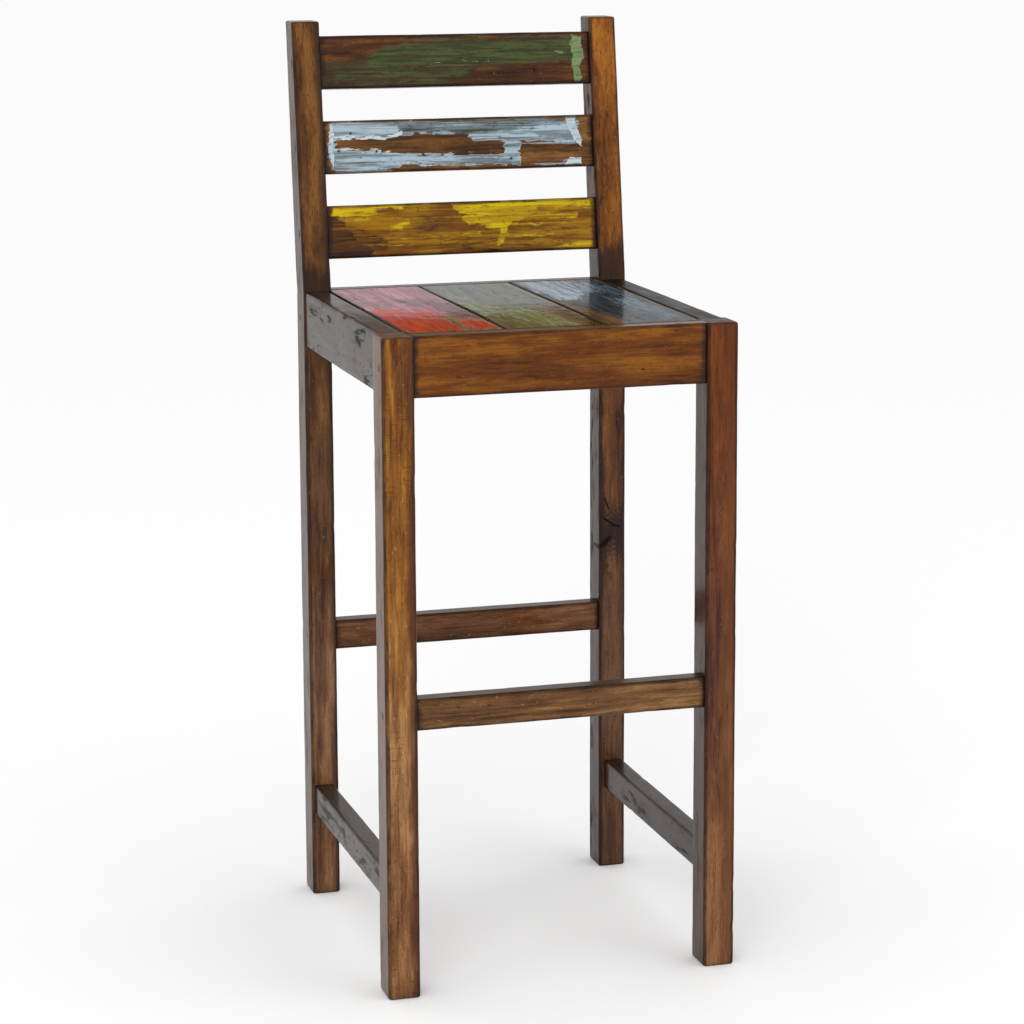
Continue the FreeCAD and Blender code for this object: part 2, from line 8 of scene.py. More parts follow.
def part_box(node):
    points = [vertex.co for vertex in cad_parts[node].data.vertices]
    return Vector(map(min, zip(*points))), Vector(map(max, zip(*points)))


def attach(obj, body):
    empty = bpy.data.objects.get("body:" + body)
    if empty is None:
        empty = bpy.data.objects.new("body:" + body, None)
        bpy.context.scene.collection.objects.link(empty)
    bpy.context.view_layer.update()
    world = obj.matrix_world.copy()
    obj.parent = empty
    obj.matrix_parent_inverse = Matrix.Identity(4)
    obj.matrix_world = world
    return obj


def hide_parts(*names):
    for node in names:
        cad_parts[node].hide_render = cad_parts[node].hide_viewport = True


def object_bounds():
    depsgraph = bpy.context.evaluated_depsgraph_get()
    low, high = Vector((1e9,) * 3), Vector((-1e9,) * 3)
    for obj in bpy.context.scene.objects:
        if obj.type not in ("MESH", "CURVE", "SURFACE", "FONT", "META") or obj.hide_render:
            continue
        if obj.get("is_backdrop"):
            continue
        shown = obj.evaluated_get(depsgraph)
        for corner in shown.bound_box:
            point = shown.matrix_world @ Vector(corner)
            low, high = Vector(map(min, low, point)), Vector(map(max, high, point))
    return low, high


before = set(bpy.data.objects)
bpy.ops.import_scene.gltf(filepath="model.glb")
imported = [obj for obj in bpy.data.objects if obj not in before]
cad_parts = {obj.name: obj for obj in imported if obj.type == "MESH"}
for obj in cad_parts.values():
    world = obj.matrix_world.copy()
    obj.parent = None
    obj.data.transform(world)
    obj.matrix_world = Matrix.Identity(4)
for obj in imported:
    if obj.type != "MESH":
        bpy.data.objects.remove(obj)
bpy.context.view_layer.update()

X = Vector((1, 0, 0))
Y = Vector((0, 1, 0))
Z = Vector((0, 0, 1))
MM = 0.001

# ---------------------------------------------------------------- meshes
# Every timber is a bar: rings of points around a path, with worn arrises and slightly uneven faces.

FLAT_INSET = 0.12 * MM    # every face lies at least this far inside the CAD face
ARC_STEPS = 4             # faces round the quarter turn of an arris
CELL_STRETCH = 1.25       # how much longer a face is than it is wide
ARRIS_WEAR_AND_SHADE = 5.5 * MM     # how far the darkened band of an arris reaches: partly wear, partly painted shade
JOINT_GRIME_AND_SHADE = 16.0 * MM   # how far the darkening at a joint reaches along a timber: partly grime, partly painted shade
FAR = 9.0                 # a distance from an end that isn't there


def smooth(low, high, value):
    """0 below low, 1 above high, and a smooth step between them."""
    if high == low:
        return 1.0 if value >= low else 0.0
    share = min(1.0, max(0.0, (value - low) / (high - low)))
    return share * share * (3 - 2 * share)


def side_points(count):
    """Positions along one flat side of a ring, from -1 to 1, without its ends."""
    return [-1 + 2 * (index + 1) / (count + 1) for index in range(count)]


def ring(half_a, half_b, radii, count_a, count_b):
    """Points round a rounded rectangle, with their outward directions and distances from an arris."""
    points = []
    corners = ((1, 1), (-1, 1), (-1, -1), (1, -1))
    for number, (sign_a, sign_b) in enumerate(corners):
        radius = radii[number]
        centre_a = sign_a * (half_a - radius)
        centre_b = sign_b * (half_b - radius)
        for step in range(ARC_STEPS + 1):
            angle = math.pi / 2 * (number + step / ARC_STEPS)
            out = (math.cos(angle), math.sin(angle))
            points.append((centre_a + radius * out[0], centre_b + radius * out[1], out, 0.0))
        after = corners[(number + 1) % 4]
        next_radius = radii[(number + 1) % 4]
        along_a = sign_a != after[0]
        half, count = (half_a, count_a) if along_a else (half_b, count_b)
        start = (sign_a if along_a else sign_b) * (half - radius)
        end = (after[0] if along_a else after[1]) * (half - next_radius)
        for share in side_points(count):
            place = start + (end - start) * (share + 1) / 2
            if along_a:
                points.append((place, sign_b * half_b, (0.0, float(sign_b)), half - abs(place)))
            else:
                points.append((sign_a * half_a, place, (float(sign_a), 0.0), half - abs(place)))
    return points


def along_stations(stations, lengths, distance):
    """The centre, axes and half sizes at a distance along a timber."""
    for index in range(1, len(stations)):
        if distance <= lengths[index] or index == len(stations) - 1:
            share = (distance - lengths[index - 1]) / (lengths[index] - lengths[index - 1])
            low, high = stations[index - 1], stations[index]
            return (
                low[0].lerp(high[0], share),
                low[1].lerp(high[1], share).normalized(),
                low[2].lerp(high[2], share).normalized(),
                low[3] + (high[3] - low[3]) * share,
                low[4] + (high[4] - low[4]) * share,
            )


def ring_distances(total, cell, free_ends, end_round, cuts):
    """Where along a timber its rings lie: close together round a free end, and evenly between."""
    distances = []
    for end, free in enumerate(free_ends):
        for step in range(ARC_STEPS + 1) if free else (ARC_STEPS,):
            back = end_round * (1 - math.sin(math.pi / 2 * step / ARC_STEPS))
            distances.append(back if end == 0 else total - back)
    steps = max(2, int(total / (cell * CELL_STRETCH)))
    for index in range(1, steps):
        distance = total * index / steps
        if end_round * 1.2 < distance < total - end_round * 1.2:
            distances.append(distance)
    return sorted(distances + list(cuts))


def arris_radius(distance, number, corner, seed):
    """A worn arris: its radius wanders along the timber and grows where it is chipped."""
    spot = Vector((distance * 9.0, number * 7.3 + seed, 1.7))
    rough = noise.noise(spot) * 0.3 + noise.noise(spot * 5.0) * 0.12
    chip = smooth(0.38, 0.6, noise.noise(Vector((distance * 30.0, number * 3.1 + seed, 5.2))))
    return max(corner * (1.0 + rough + 0.5 * chip), corner * 0.45)


def bar(name, stations, slot, corner, wear, cell, seed, free_ends=(True, True), end_round=2.5 * MM,
        paint=None, stain=None, cuts=(), trim=None):
    """Builds one timber.

    stations: (centre, axis a, axis b, half width along a, half width along b) from one end to the other.
    corner, wear, cell: the radius of the arrises, the depth of the hollows and the size of a face.
    free_ends: whether each end is rounded, and not hidden in a joint.
    paint: called with (along 0..1, a -1..1, out b), gives three coat strengths.
    stain: called with a point, gives how dark the nearby joints make it, partly grime and partly painted
    shade.
    cuts: extra rings, as distances along the timber, where trim changes its shape.
    trim: called with a point, gives it back moved into the outline.
    """
    lengths = [0.0]
    for before, after in zip(stations, stations[1:]):
        lengths.append(lengths[-1] + (after[0] - before[0]).length)
    total = lengths[-1]
    direction = (stations[-1][0] - stations[0][0]).normalized()
    count_a = max(3, int(2 * max(item[3] for item in stations) / cell))
    count_b = max(3, int(2 * max(item[4] for item in stations) / cell))

    mesh = bpy.data.meshes.new(name)
    work = bmesh.new()
    values = {"wear": [], "facing": [], "coats": []}
    rows = []
    for distance in ring_distances(total, cell, free_ends, end_round, cuts):
        centre, axis_a, axis_b, half_a, half_b = along_stations(stations, lengths, distance)
        from_start, from_stop = distance, total - distance
        at_end = min(from_start, from_stop) < 1e-6
        end_facing = direction * (1 if distance > total / 2 else -1)
        # A ring near a free end is drawn in by as much as the arris has gone round.
        inward = 0.0
        if free_ends[0 if distance < total / 2 else 1]:
            share = min(1.0, max(0.0, 1 - min(from_start, from_stop) / end_round))
            inward = end_round * (1 - math.sqrt(max(0.0, 1 - share * share)))
        free_gap = min(from_start if free_ends[0] else FAR, from_stop if free_ends[1] else FAR)
        joint_gap = min(FAR if free_ends[0] else from_start, FAR if free_ends[1] else from_stop)
        widest = 0.9 * min(half_a, half_b) - inward
        radii = [min(arris_radius(distance, number, corner, seed), widest) for number in range(4)]
        row = []
        for place_a, place_b, out, off_edge in ring(half_a, half_b, radii, count_a, count_b):
            point = centre + axis_a * place_a * (1 - inward / half_a)
            point = point + axis_b * place_b * (1 - inward / half_b)
            spot = point * 14.0 + Vector((seed, seed * 0.7, 0))
            hollow = 0.5 + 0.5 * noise.noise(spot) + 0.25 * noise.noise(spot * 4.0)
            push = 0.0 if at_end else FLAT_INSET + wear * max(0.0, hollow)
            point = point - axis_a * out[0] * push - axis_b * out[1] * push
            if trim:
                point = trim(point)
            row.append(work.verts.new(point))
            facing = end_facing if at_end else axis_a * out[0] + axis_b * out[1]
            # How dark the joints make a spot: partly grime, partly painted shade where the parts meet.
            grime_and_shade = max(1 - smooth(0.0, JOINT_GRIME_AND_SHADE, joint_gap), stain(point) if stain else 0.0)
            # The darkened band along an arris: partly wear, partly painted shade.
            worn = 1 - smooth(0.0, ARRIS_WEAR_AND_SHADE, min(off_edge, free_gap))
            coats = paint(distance / total, place_a / half_a, out[1]) if paint else (0.0, 0.0, 0.0)
            values["wear"].append((worn, grime_and_shade, distance / total, 1.0))
            values["facing"].append((abs(facing.x), max(0.0, facing.z), 0.0, 1.0))
            values["coats"].append((*coats, 1.0))
        rows.append(row)
    count = len(rows[0])
    for low, high in zip(rows, rows[1:]):
        for index in range(count):
            after = (index + 1) % count
            work.faces.new((low[index], low[after], high[after], high[index]))
    work.faces.new(list(reversed(rows[0])))
    work.faces.new(rows[-1])
    bmesh.ops.recalc_face_normals(work, faces=work.faces)
    work.to_mesh(mesh)
    work.free()
    for label, colours in values.items():
        layer = mesh.attributes.new(label, "FLOAT_COLOR", "POINT")
        for index, value in enumerate(colours):
            layer.data[index].color = value
    for face in mesh.polygons:
        face.use_smooth = len(face.vertices) == 4
    item = bpy.data.objects.new(name, mesh)
    bpy.context.collection.objects.link(item)
    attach(item, "root")
    return item


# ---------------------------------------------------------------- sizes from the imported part

inner_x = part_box("rear_leg_right")[0].x
leg_back_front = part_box("front_leg_left")[1].y
rear_front_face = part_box("rear_leg_left")[0].y
post_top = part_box("rear_leg_left")[1].z
HIDDEN = 1.5 * MM         # how far a rail's end goes into the leg, out of sight

SEAT_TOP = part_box("seat_board_centre")[1].z
KINK = SEAT_TOP - 2 * MM  # where the rear legs start to lean
FOOT_ZONE = 0.1           # vertices under this height show where a rear leg's faces start
TOP_ZONE = 0.02           # and vertices this near its top show where they end


def rear_profile(name):
    """Where a rear leg's front and back faces lie at its foot and its top, measured on its CAD mesh."""
    points = [vertex.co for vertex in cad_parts[name].data.vertices]
    foot = [p for p in points if p.z < FOOT_ZONE]
    top = [p for p in points if p.z > post_top - TOP_ZONE]
    foot_front, foot_back = min(p.y for p in foot), max(p.y for p in foot)
    top_front, top_back = min(p.y for p in top), max(p.y for p in top)
    return foot_front, foot_back, top_front, top_back


def slat_frame(name):
    """The middle of a leaning slat, its up and front directions, and its half sizes."""
    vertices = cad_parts[name].data.vertices
    points = [vertex.co for vertex in vertices if abs(vertex.co.x) < inner_x + 0.2 * MM]
    lean = math.atan2(legs_top_front - rear_front_face, post_top - KINK)
    up = Vector((0, math.sin(lean), math.cos(lean)))
    front = Vector((0, -math.cos(lean), math.sin(lean)))
    ups = [p.dot(up) for p in points]
    fronts = [p.dot(front) for p in points]
    middle = up * (min(ups) + max(ups)) / 2 + front * (min(fronts) + max(fronts)) / 2
    return middle, up, front, (max(ups) - min(ups)) / 2, (max(fronts) - min(fronts)) / 2


legs_top_front = rear_profile("rear_leg_left")[2]


def slat_spot(name, along, across):
    """A place on the front face of a slat, from its share of the length and of the height."""
    middle, up, front, half_up, half_front = slat_frame(name)
    return tuple(middle + X * (2 * along - 1) * inner_x
                 + up * (2 * across - 1) * half_up + front * half_front)


# ---------------------------------------------------------------- node materials


class Graph:
    """A short way to write one material's nodes."""

    def __init__(self, name):
        self.material = bpy.data.materials.new(name)
        self.material.use_nodes = True
        self.tree = self.material.node_tree
        self.tree.nodes.clear()
        self.output = self.add("ShaderNodeOutputMaterial")

    def add(self, kind, **settings):
        node = self.tree.nodes.new(kind)
        for key, value in settings.items():
            setattr(node, key, value)
        return node

    def put(self, value, socket):
        """Links a socket to another, or sets its constant."""
        if isinstance(value, bpy.types.NodeSocket):
            self.tree.links.new(value, socket)
        else:
            socket.default_value = value

    def math(self, operation, a, b=0.0, clamp=False):
        node = self.add("ShaderNodeMath", operation=operation, use_clamp=clamp)
        self.put(a, node.inputs[0])
        self.put(b, node.inputs[1])
        return node.outputs[0]

    def times(self, a, b):
        return self.math("MULTIPLY", a, b)

    def without(self, value):
        return self.math("SUBTRACT", 1.0, value)

    def centred(self, value):
        """A noise moved from around a half to around zero."""
        return self.math("SUBTRACT", value, 0.5)

    def step(self, value, low, high):
        """0 where value is under low, 1 where it is over high, smooth between."""
        node = self.add("ShaderNodeMapRange", interpolation_type="SMOOTHSTEP")
        self.put(value, node.inputs["Value"])
        node.inputs["From Min"].default_value = low
        node.inputs["From Max"].default_value = high
        return node.outputs["Result"]

    def mix(self, factor, a, b, blend="MIX"):
        node = self.add("ShaderNodeMix", data_type="RGBA", blend_type=blend)
        self.put(factor, node.inputs["Factor"])
        for colour, socket in ((a, node.inputs["A"]), (b, node.inputs["B"])):
            is_socket = isinstance(colour, bpy.types.NodeSocket)
            self.put(colour if is_socket else tuple(colour) + (1.0,), socket)
        return node.outputs["Result"]

    def here(self):
        """Object coordinates, in metres."""
        return self.add("ShaderNodeTexCoord").outputs["Object"]

    def vector(self, operation, a, b=(0.0, 0.0, 0.0), result="Vector"):
        node = self.add("ShaderNodeVectorMath", operation=operation)
        self.put(a, node.inputs[0])
        self.put(b, node.inputs[1])
        return node.outputs[result]

    def place(self, axis, seed, along=1.0, across=1.0):
        """Object coordinates stretched along the grain. axis is 0, 1 or 2."""
        mapping = self.add("ShaderNodeMapping")
        self.put(self.here(), mapping.inputs["Vector"])
        scale = [across, across, across]
        scale[axis] = along
        mapping.inputs["Scale"].default_value = scale
        mapping.inputs["Location"].default_value = (seed * 1.3, seed * 2.1, seed * 0.7)
        return mapping.outputs["Vector"]

    def noise(self, vector, detail, rough, twist=0.0):
        node = self.add("ShaderNodeTexNoise")
        self.put(vector, node.inputs["Vector"])
        node.inputs["Scale"].default_value = 1.0
        node.inputs["Detail"].default_value = detail
        node.inputs["Roughness"].default_value = rough
        node.inputs["Distortion"].default_value = twist
        return node.outputs["Fac"]

    def attribute(self, name):
        node = self.add("ShaderNodeAttribute", attribute_name=name)
        split = self.add("ShaderNodeSeparateColor")
        self.put(node.outputs["Color"], split.inputs["Color"])
        return split.outputs

    def bump(self, height, strength, depth, socket):
        node = self.add("ShaderNodeBump")
        node.inputs["Strength"].default_value = strength
        node.inputs["Distance"].default_value = depth
        self.put(height, node.inputs["Height"])
        self.put(node.outputs["Normal"], socket)


# Dark colours that several timbers share.
PIT_COLOUR = (0.016, 0.008, 0.004)
CRACK_COLOUR = (0.012, 0.006, 0.004)
HOLE_COLOUR = (0.01, 0.006, 0.004)
SAW_COLOUR = (0.035, 0.014, 0.006)
# The dark line along an arris: partly stain, partly painted shade.
EDGE_STAIN_AND_SHADE_COLOUR = (0.014, 0.006, 0.003)
# The darkening at joints: partly grime, partly painted shade.
GRIME_AND_SHADE_COLOUR = (0.022, 0.009, 0.005)

COAT_ROUGHNESS = 0.12
COAT_IOR = 1.36
BUMP_DEPTH = 0.7 * MM
WOOD_BUMP = 0.4
COAT_BUMP = 0.2
KNOT_RING_FREQUENCY = 1500.0
KNOT_SQUEEZE = 0.62


def scaled(colour, factor, lift=0.0):
    """A colour times a factor, plus a little, and never over 1."""
    return tuple(min(1.0, channel * factor + lift) for channel in colour)


def knot_reach(g, axis, place, mottle):
    """Distance from a knot, drawn out along the grain and made uneven."""
    squeeze = [1.0, 1.0, 1.0]
    squeeze[axis] = KNOT_SQUEEZE
    offset = g.vector("MULTIPLY", g.vector("SUBTRACT", g.here(), place), squeeze)
    length = g.vector("LENGTH", offset, result="Value")
    return g.math("ADD", length, g.times(g.centred(mottle), 0.016))


def shade_flank_mask(g, axis, seed, start, end):
    """0 at the x of start, 1 at the x of end, with a border that wavers along the grain."""
    spread = g.add("ShaderNodeSeparateXYZ")
    g.put(g.here(), spread.inputs[0])
    waver = g.noise(g.place(axis, seed + 33.0, 12.0, 50.0), 3.0, 0.6)
    inside = g.math("ADD", spread.outputs["X"], g.times(g.centred(waver), 0.02))
    inside = g.step(inside, min(start, end), max(start, end))
    return g.without(inside) if start > end else inside


def gash_mask(g, place, angle, half_length, half_width, split):
    """1 inside a ragged split in a front face, 0 outside it."""
    turn = g.add("ShaderNodeMapping", vector_type="TEXTURE")
    g.put(g.here(), turn.inputs["Vector"])
    turn.inputs["Location"].default_value = place
    turn.inputs["Rotation"].default_value = (0.0, angle, 0.0)
    turn.inputs["Scale"].default_value = (half_length, 0.05, half_width)
    far = g.vector("LENGTH", turn.outputs["Vector"], result="Value")
    reach = g.math("ADD", far, g.times(g.math("SUBTRACT", split, 0.1), 1.2))
    return g.without(g.step(reach, 0.7, 1.1))


def paint_coat(g, axis, seed, coat, depth, colour, height, dark):
    """Lays one worn coat of paint over a colour and a height, and gives both back."""
    first, second, soft, blotches, streaks, thick = coat
    brush = g.noise(g.place(axis, seed + 40.0, 6.0, 260.0), 4.0, 0.62, 0.2)
    blotch = g.noise(g.place(axis, seed + 50.0, 42.0, 95.0), 6.0, 0.65, 0.6)
    tint = g.noise(g.place(axis, seed + 60.0, 11.0, 150.0), 5.0, 0.62, 0.3)
    dirt = g.noise(g.place(axis, seed + 70.0, 120.0, 300.0), 4.0, 0.62)
    field = g.math("ADD", depth, g.times(g.centred(blotch), 2.0 * blotches))
    field = g.math("ADD", field, g.times(g.centred(brush), 2.0 * streaks))
    painted = g.step(depth, 0.02, 0.12)
    mask = g.times(g.step(field, 0.5 - soft, 0.5 + soft), painted)

    paint = g.mix(g.step(tint, 0.42, 0.58), first, second)
    scratch = g.times(g.step(brush, 0.55, 0.65), 0.75 * min(1.0, 3.0 * streaks))
    paint = g.mix(scratch, paint, colour)
    paint = g.mix(g.times(g.step(dirt, 0.56, 0.68), 0.62), paint, dark)
    colour = g.mix(mask, colour, paint)

    # The rim of a thick coat stands up in the bump, and its colour is made paler: a painted highlight
    # along the raised ridge.
    rim = g.math("SUBTRACT", g.step(field, 0.5 - soft, 0.5), g.step(field, 0.5, 0.62))
    rim = g.times(g.times(rim, painted), 0.55 * thick)
    colour = g.mix(rim, colour, tuple(min(0.9, channel * 1.5 + 0.02) for channel in second))
    ridges = g.times(g.times(brush, mask), 0.9 * thick)
    height = g.math("ADD", height, g.times(mask, thick))
    height = g.math("ADD", height, g.times(rim, 0.6))
    return colour, g.math("ADD", height, ridges)


def wood(name, axis, seed, dark, middle, light, coats=(), pits=0.5, flecks=0.45, sawn=0.0,
         varnish=0.5, satin=0.03, edge=1.0, edge_reach=0.0, tints=None, knot=None, holes=(),
         side_shade=0.72, cracks=0.45, top_dull=0.38, shade_flank=None, gashes=()):
    """Varnished old timber with its grain along one axis, and up to three coats of worn paint.

    coats: (colour, second colour, softness, blotches, streaks, thickness) for each coat.
    pits, flecks, sawn, cracks: how strong the dark pits, pale specks, saw marks and splits are.
    varnish, satin: the weight of the gloss coat, and the specular level under it.
    edge, edge_reach: how dark the arrises are, partly stain and partly painted shade, and how far the
    dark line comes in from them.
    tints: (at the start, at the end, start, end), factors for the colour along the timber.
    knot: the place of a knot, in metres.
    holes: the places of old nail holes, each with its radius, in metres.
    side_shade, top_dull: how much painted shade darkens the faces along x and the faces looking up, and
    how much gloss top faces lose.
    shade_flank: (x, x, colour, strength), a strip of painted shade that grows from the first x to the
    second.
    gashes: (place, angle, half length, half width) of each dark split on a front face.
    """
    g = Graph(name)
    wear = g.attribute("wear")
    facing = g.attribute("facing")
    bands = g.noise(g.place(axis, seed, 2.6, 34.0), 3.0, 0.5, 0.6)
    mottle = g.noise(g.place(axis, seed + 3.0, 15.0, 100.0), 6.0, 0.6, 0.35)
    grain = g.noise(g.place(axis, seed + 5.0, 14.0, 330.0), 4.0, 0.6, 0.3)
    pores = g.noise(g.place(axis, seed + 7.0, 130.0, 900.0), 2.0, 0.5)
    specks = g.noise(g.place(axis, seed + 9.0, 210.0, 330.0), 3.0, 0.6)
    spots = g.noise(g.place(axis, seed + 11.0, 48.0, 85.0), 4.0, 0.6)

    # The wood's own colour: dark, middle and light by one tone, then grain, pores and specks.
    tone = g.math("ADD", g.times(bands, 1.15), g.times(mottle, 0.95))
    tone = g.math("SUBTRACT", g.math("ADD", tone, g.times(grain, 0.75)), 0.1)
    if knot:
        reach = knot_reach(g, axis, knot, mottle)
        rings = g.math("SINE", g.times(reach, KNOT_RING_FREQUENCY))
        near = g.without(g.step(reach, 0.01, 0.034))
        tone = g.math("ADD", tone, g.times(g.times(rings, near), 0.1))
        tone = g.math("SUBTRACT", tone, g.times(near, 0.36))
    colour = g.mix(g.step(tone, 1.0, 1.3), scaled(dark, 0.9), middle)
    colour = g.mix(g.step(tone, 1.27, 1.52), colour, scaled(light, 1.15))
    colour = g.mix(g.times(g.step(grain, 0.53, 0.64), 0.46), colour, dark)
    colour = g.mix(g.times(g.step(pores, 0.58, 0.68), 0.6), colour, scaled(dark, 0.6))
    colour = g.mix(g.times(g.step(specks, 0.64, 0.72), flecks), colour, scaled(light, 1.7, 0.05))
    if tints:
        lower, upper, start, end = tints
        tint = g.mix(g.step(wear["Blue"], start, end), lower, upper)
        colour = g.mix(1.0, colour, tint, "MULTIPLY")
    # A strip of painted shade along one side of the timber.
    if shade_flank:
        start, end, shade_flank_colour, strength = shade_flank
        inside = shade_flank_mask(g, axis, seed, start, end)
        colour = g.mix(g.times(inside, strength), colour, shade_flank_colour)
    if sawn:
        marks = g.noise(g.place(axis, seed + 15.0, 620.0, 60.0), 3.0, 0.6, 0.4)
        zone = g.noise(g.place(axis, seed + 17.0, 9.0, 30.0), 2.0, 0.5)
        cut = g.times(g.step(marks, 0.6, 0.68), g.step(zone, 0.48, 0.62))
        colour = g.mix(g.times(cut, sawn), colour, SAW_COLOUR)

    # Damage: pits, the knot's core, nail holes with rust round them, and splits and scuffs.
    pit = g.times(g.step(spots, 0.67, 0.73), pits)
    colour = g.mix(pit, colour, PIT_COLOUR)
    if knot:
        core = g.without(g.step(reach, 0.003, 0.01))
        colour = g.mix(g.times(core, 0.85), colour, CRACK_COLOUR)
    nails = []
    for place, radius in holes:
        gap = g.vector("DISTANCE", g.here(), place, "Value")
        hole = g.without(g.step(gap, radius * 0.75, radius * 1.1))
        rust = g.without(g.step(gap, radius, radius * 2.6))
        pit = g.math("MAXIMUM", pit, hole)
        nails.append((hole, rust))
    cracks = g.times(g.math("ADD", g.times(facing["Red"], 0.8), 0.2), cracks)
    split = g.noise(g.place(axis, seed + 25.0, 11.0, 48.0), 5.0, 0.62, 1.6)
    split = g.math("ABSOLUTE", g.centred(split))
    worn = g.noise(g.place(axis, seed + 27.0, 13.0, 32.0), 3.0, 0.55)
    crack = g.without(g.step(split, 0.003, 0.013))
    crack = g.times(g.times(crack, g.step(worn, 0.48, 0.58)), cracks)
    scuff = g.times(g.step(worn, 0.52, 0.59), g.step(mottle, 0.49, 0.55))
    crack = g.math("MAXIMUM", crack, g.times(scuff, cracks))
    for gash in gashes:
        crack = g.math("MAXIMUM", crack, gash_mask(g, *gash, split))
    colour = g.mix(crack, colour, CRACK_COLOUR)
    pit = g.math("MAXIMUM", pit, crack)

    height = g.times(grain, -0.3)
    height = g.math("SUBTRACT", height, g.times(g.step(pores, 0.6, 0.7), 0.25))
    height = g.math("SUBTRACT", height, g.times(pit, 0.9))
    rough = g.math("ADD", g.times(mottle, 0.4), 0.18)

    depths = g.attribute("coats")
    for number, coat in enumerate(coats):
        colour, height = paint_coat(g, axis, seed + number, coat, depths[number], colour, height, dark)
    for hole, rust in nails:
        colour = g.mix(g.times(rust, 0.45), colour, dark)
        colour = g.mix(hole, colour, HOLE_COLOUR)

    # Painted shade: faces along x and faces looking up are darkened by the way they face.
    turned = g.math("MAXIMUM", facing["Red"], g.times(facing["Green"], 0.85))
    shade = g.times(g.step(turned, 0.35, 1.0), side_shade)
    colour = g.mix(shade, colour, scaled(dark, 0.3))
    # Arrises get a dark band and a dark line: partly stain, partly painted shade of the rounded edges
    # and the gaps beside them.
    ragged = g.centred(g.noise(g.place(axis, seed + 80.0, 24.0, 90.0), 5.0, 0.65))
    arris = g.math("ADD", wear["Red"], ragged)
    colour = g.mix(g.times(g.step(arris, 0.25, 1.05), 0.6 * edge), colour, scaled(dark, 0.55))
    line = g.step(arris, 0.92 - edge_reach, 1.12 - edge_reach)
    colour = g.mix(g.times(line, min(1.0, 0.75 * edge)), colour, EDGE_STAIN_AND_SHADE_COLOUR)
    # Joints are darkened near rail ends and beside rails on the legs: partly grime, partly painted shade
    # where the parts meet.
    joint = g.math("ADD", wear["Green"], g.times(ragged, 1.6))
    colour = g.mix(g.times(g.step(joint, 0.35, 0.95), 0.88), colour, GRIME_AND_SHADE_COLOUR)

    # The gloss coat is thin over pits, splits and dark mottling, and on top faces.
    dull = g.math("MAXIMUM", g.times(g.step(spots, 0.58, 0.7), 0.85 * pits), crack)
    dull = g.math("MAXIMUM", dull, g.times(g.step(mottle, 0.54, 0.7), 0.4))
    polish = g.math("SUBTRACT", 1.0, dull, True)
    polish = g.times(polish, g.without(g.times(facing["Green"], top_dull)))

    shader = g.add("ShaderNodeBsdfPrincipled")
    g.put(colour, shader.inputs["Base Color"])
    g.put(rough, shader.inputs["Roughness"])
    shader.inputs["Specular IOR Level"].default_value = satin
    g.put(g.times(polish, varnish), shader.inputs["Coat Weight"])
    shader.inputs["Coat Roughness"].default_value = COAT_ROUGHNESS
    shader.inputs["Coat IOR"].default_value = COAT_IOR
    ripple = g.noise(g.place(axis, seed + 90.0, 14.0, 36.0), 2.0, 0.5)
    height = g.math("ADD", height, g.times(ripple, 1.1))
    g.bump(height, WOOD_BUMP, BUMP_DEPTH, shader.inputs["Normal"])
    g.bump(height, COAT_BUMP, BUMP_DEPTH, shader.inputs["Coat Normal"])
    g.put(shader.outputs["BSDF"], g.output.inputs["Surface"])
    return g.material


# ---------------------------------------------------------------- paint layouts
# A patch is a list of (along, lowest across, highest across), joined by straight lines. Along runs left
# to right on a slat, and back to front on a seat board. Across runs bottom to top on a slat, and left to
# right on a board. Both go from 0 to 1.


def patch(along, across, points, soft_along, soft_across):
    """How deep a spot lies inside a patch: 0.5 on its border, 1 well inside and 0 outside."""
    if along <= points[0][0]:
        low, high = points[0][1:]
    elif along >= points[-1][0]:
        low, high = points[-1][1:]
    else:
        for before, after in zip(points, points[1:]):
            if along <= after[0]:
                share = (along - before[0]) / (after[0] - before[0])
                low = before[1] + (after[1] - before[1]) * share
                high = before[2] + (after[2] - before[2]) * share
                break
    ends = min(along - points[0][0], points[-1][0] - along) / soft_along
    sides = min(across - low, high - across) / soft_across
    return min(1.0, max(0.0, 0.5 + 0.5 * min(ends, sides)))


def deepest(along, across, patches, soft_along, soft_across):
    """The deepest of several (strength, points) patches."""
    return max(strength * patch(along, across, points, soft_along, soft_across)
               for strength, points in patches)


def warped(along, across, seed, stretch):
    """Moves a spot a little, so that the borders of the patches wander as a brush does."""
    spot = Vector((along * 24.0, across * 24.0 / stretch, seed))
    fine = spot * 3.1
    along += 0.008 * noise.noise(spot) + 0.004 * noise.noise(fine)
    sideways = 0.008 * noise.noise(spot + Vector((9, 4, 0)))
    sideways += 0.004 * noise.noise(fine + Vector((5, 1, 0)))
    across += sideways * stretch
    return along, across


MIDDLE_BLUE = (
    (1.0, ((0.02, 0.3, 0.8), (0.034, 0.1, 0.93), (0.05, 0.05, 0.95))),
    (1.0, ((0.03, 0.62, 0.95), (0.06, 0.65, 0.98), (0.25, 0.64, 0.99), (0.285, 0.72, 0.99),
           (0.33, 0.74, 0.99))),
    (0.66, ((0.29, 0.72, 0.99), (0.52, 0.7, 0.95), (0.56, 0.6, 0.94))),
    (0.95, ((0.53, 0.66, 0.9), (0.56, 0.56, 0.9), (0.7, 0.52, 0.9), (0.945, 0.45, 0.92))),
    (1.0, ((0.028, 0.15, 0.5), (0.07, 0.04, 0.47), (0.16, 0.03, 0.43), (0.26, 0.06, 0.38),
           (0.29, 0.12, 0.35))),
    (0.85, ((0.28, 0.12, 0.34), (0.58, 0.1, 0.3), (0.72, 0.07, 0.29))),
    (0.95, ((0.666, 0.07, 0.5), (0.69, 0.07, 0.55), (0.722, 0.07, 0.5))),
    (0.7, ((0.71, 0.04, 0.11), (0.9, 0.05, 0.11))),
)
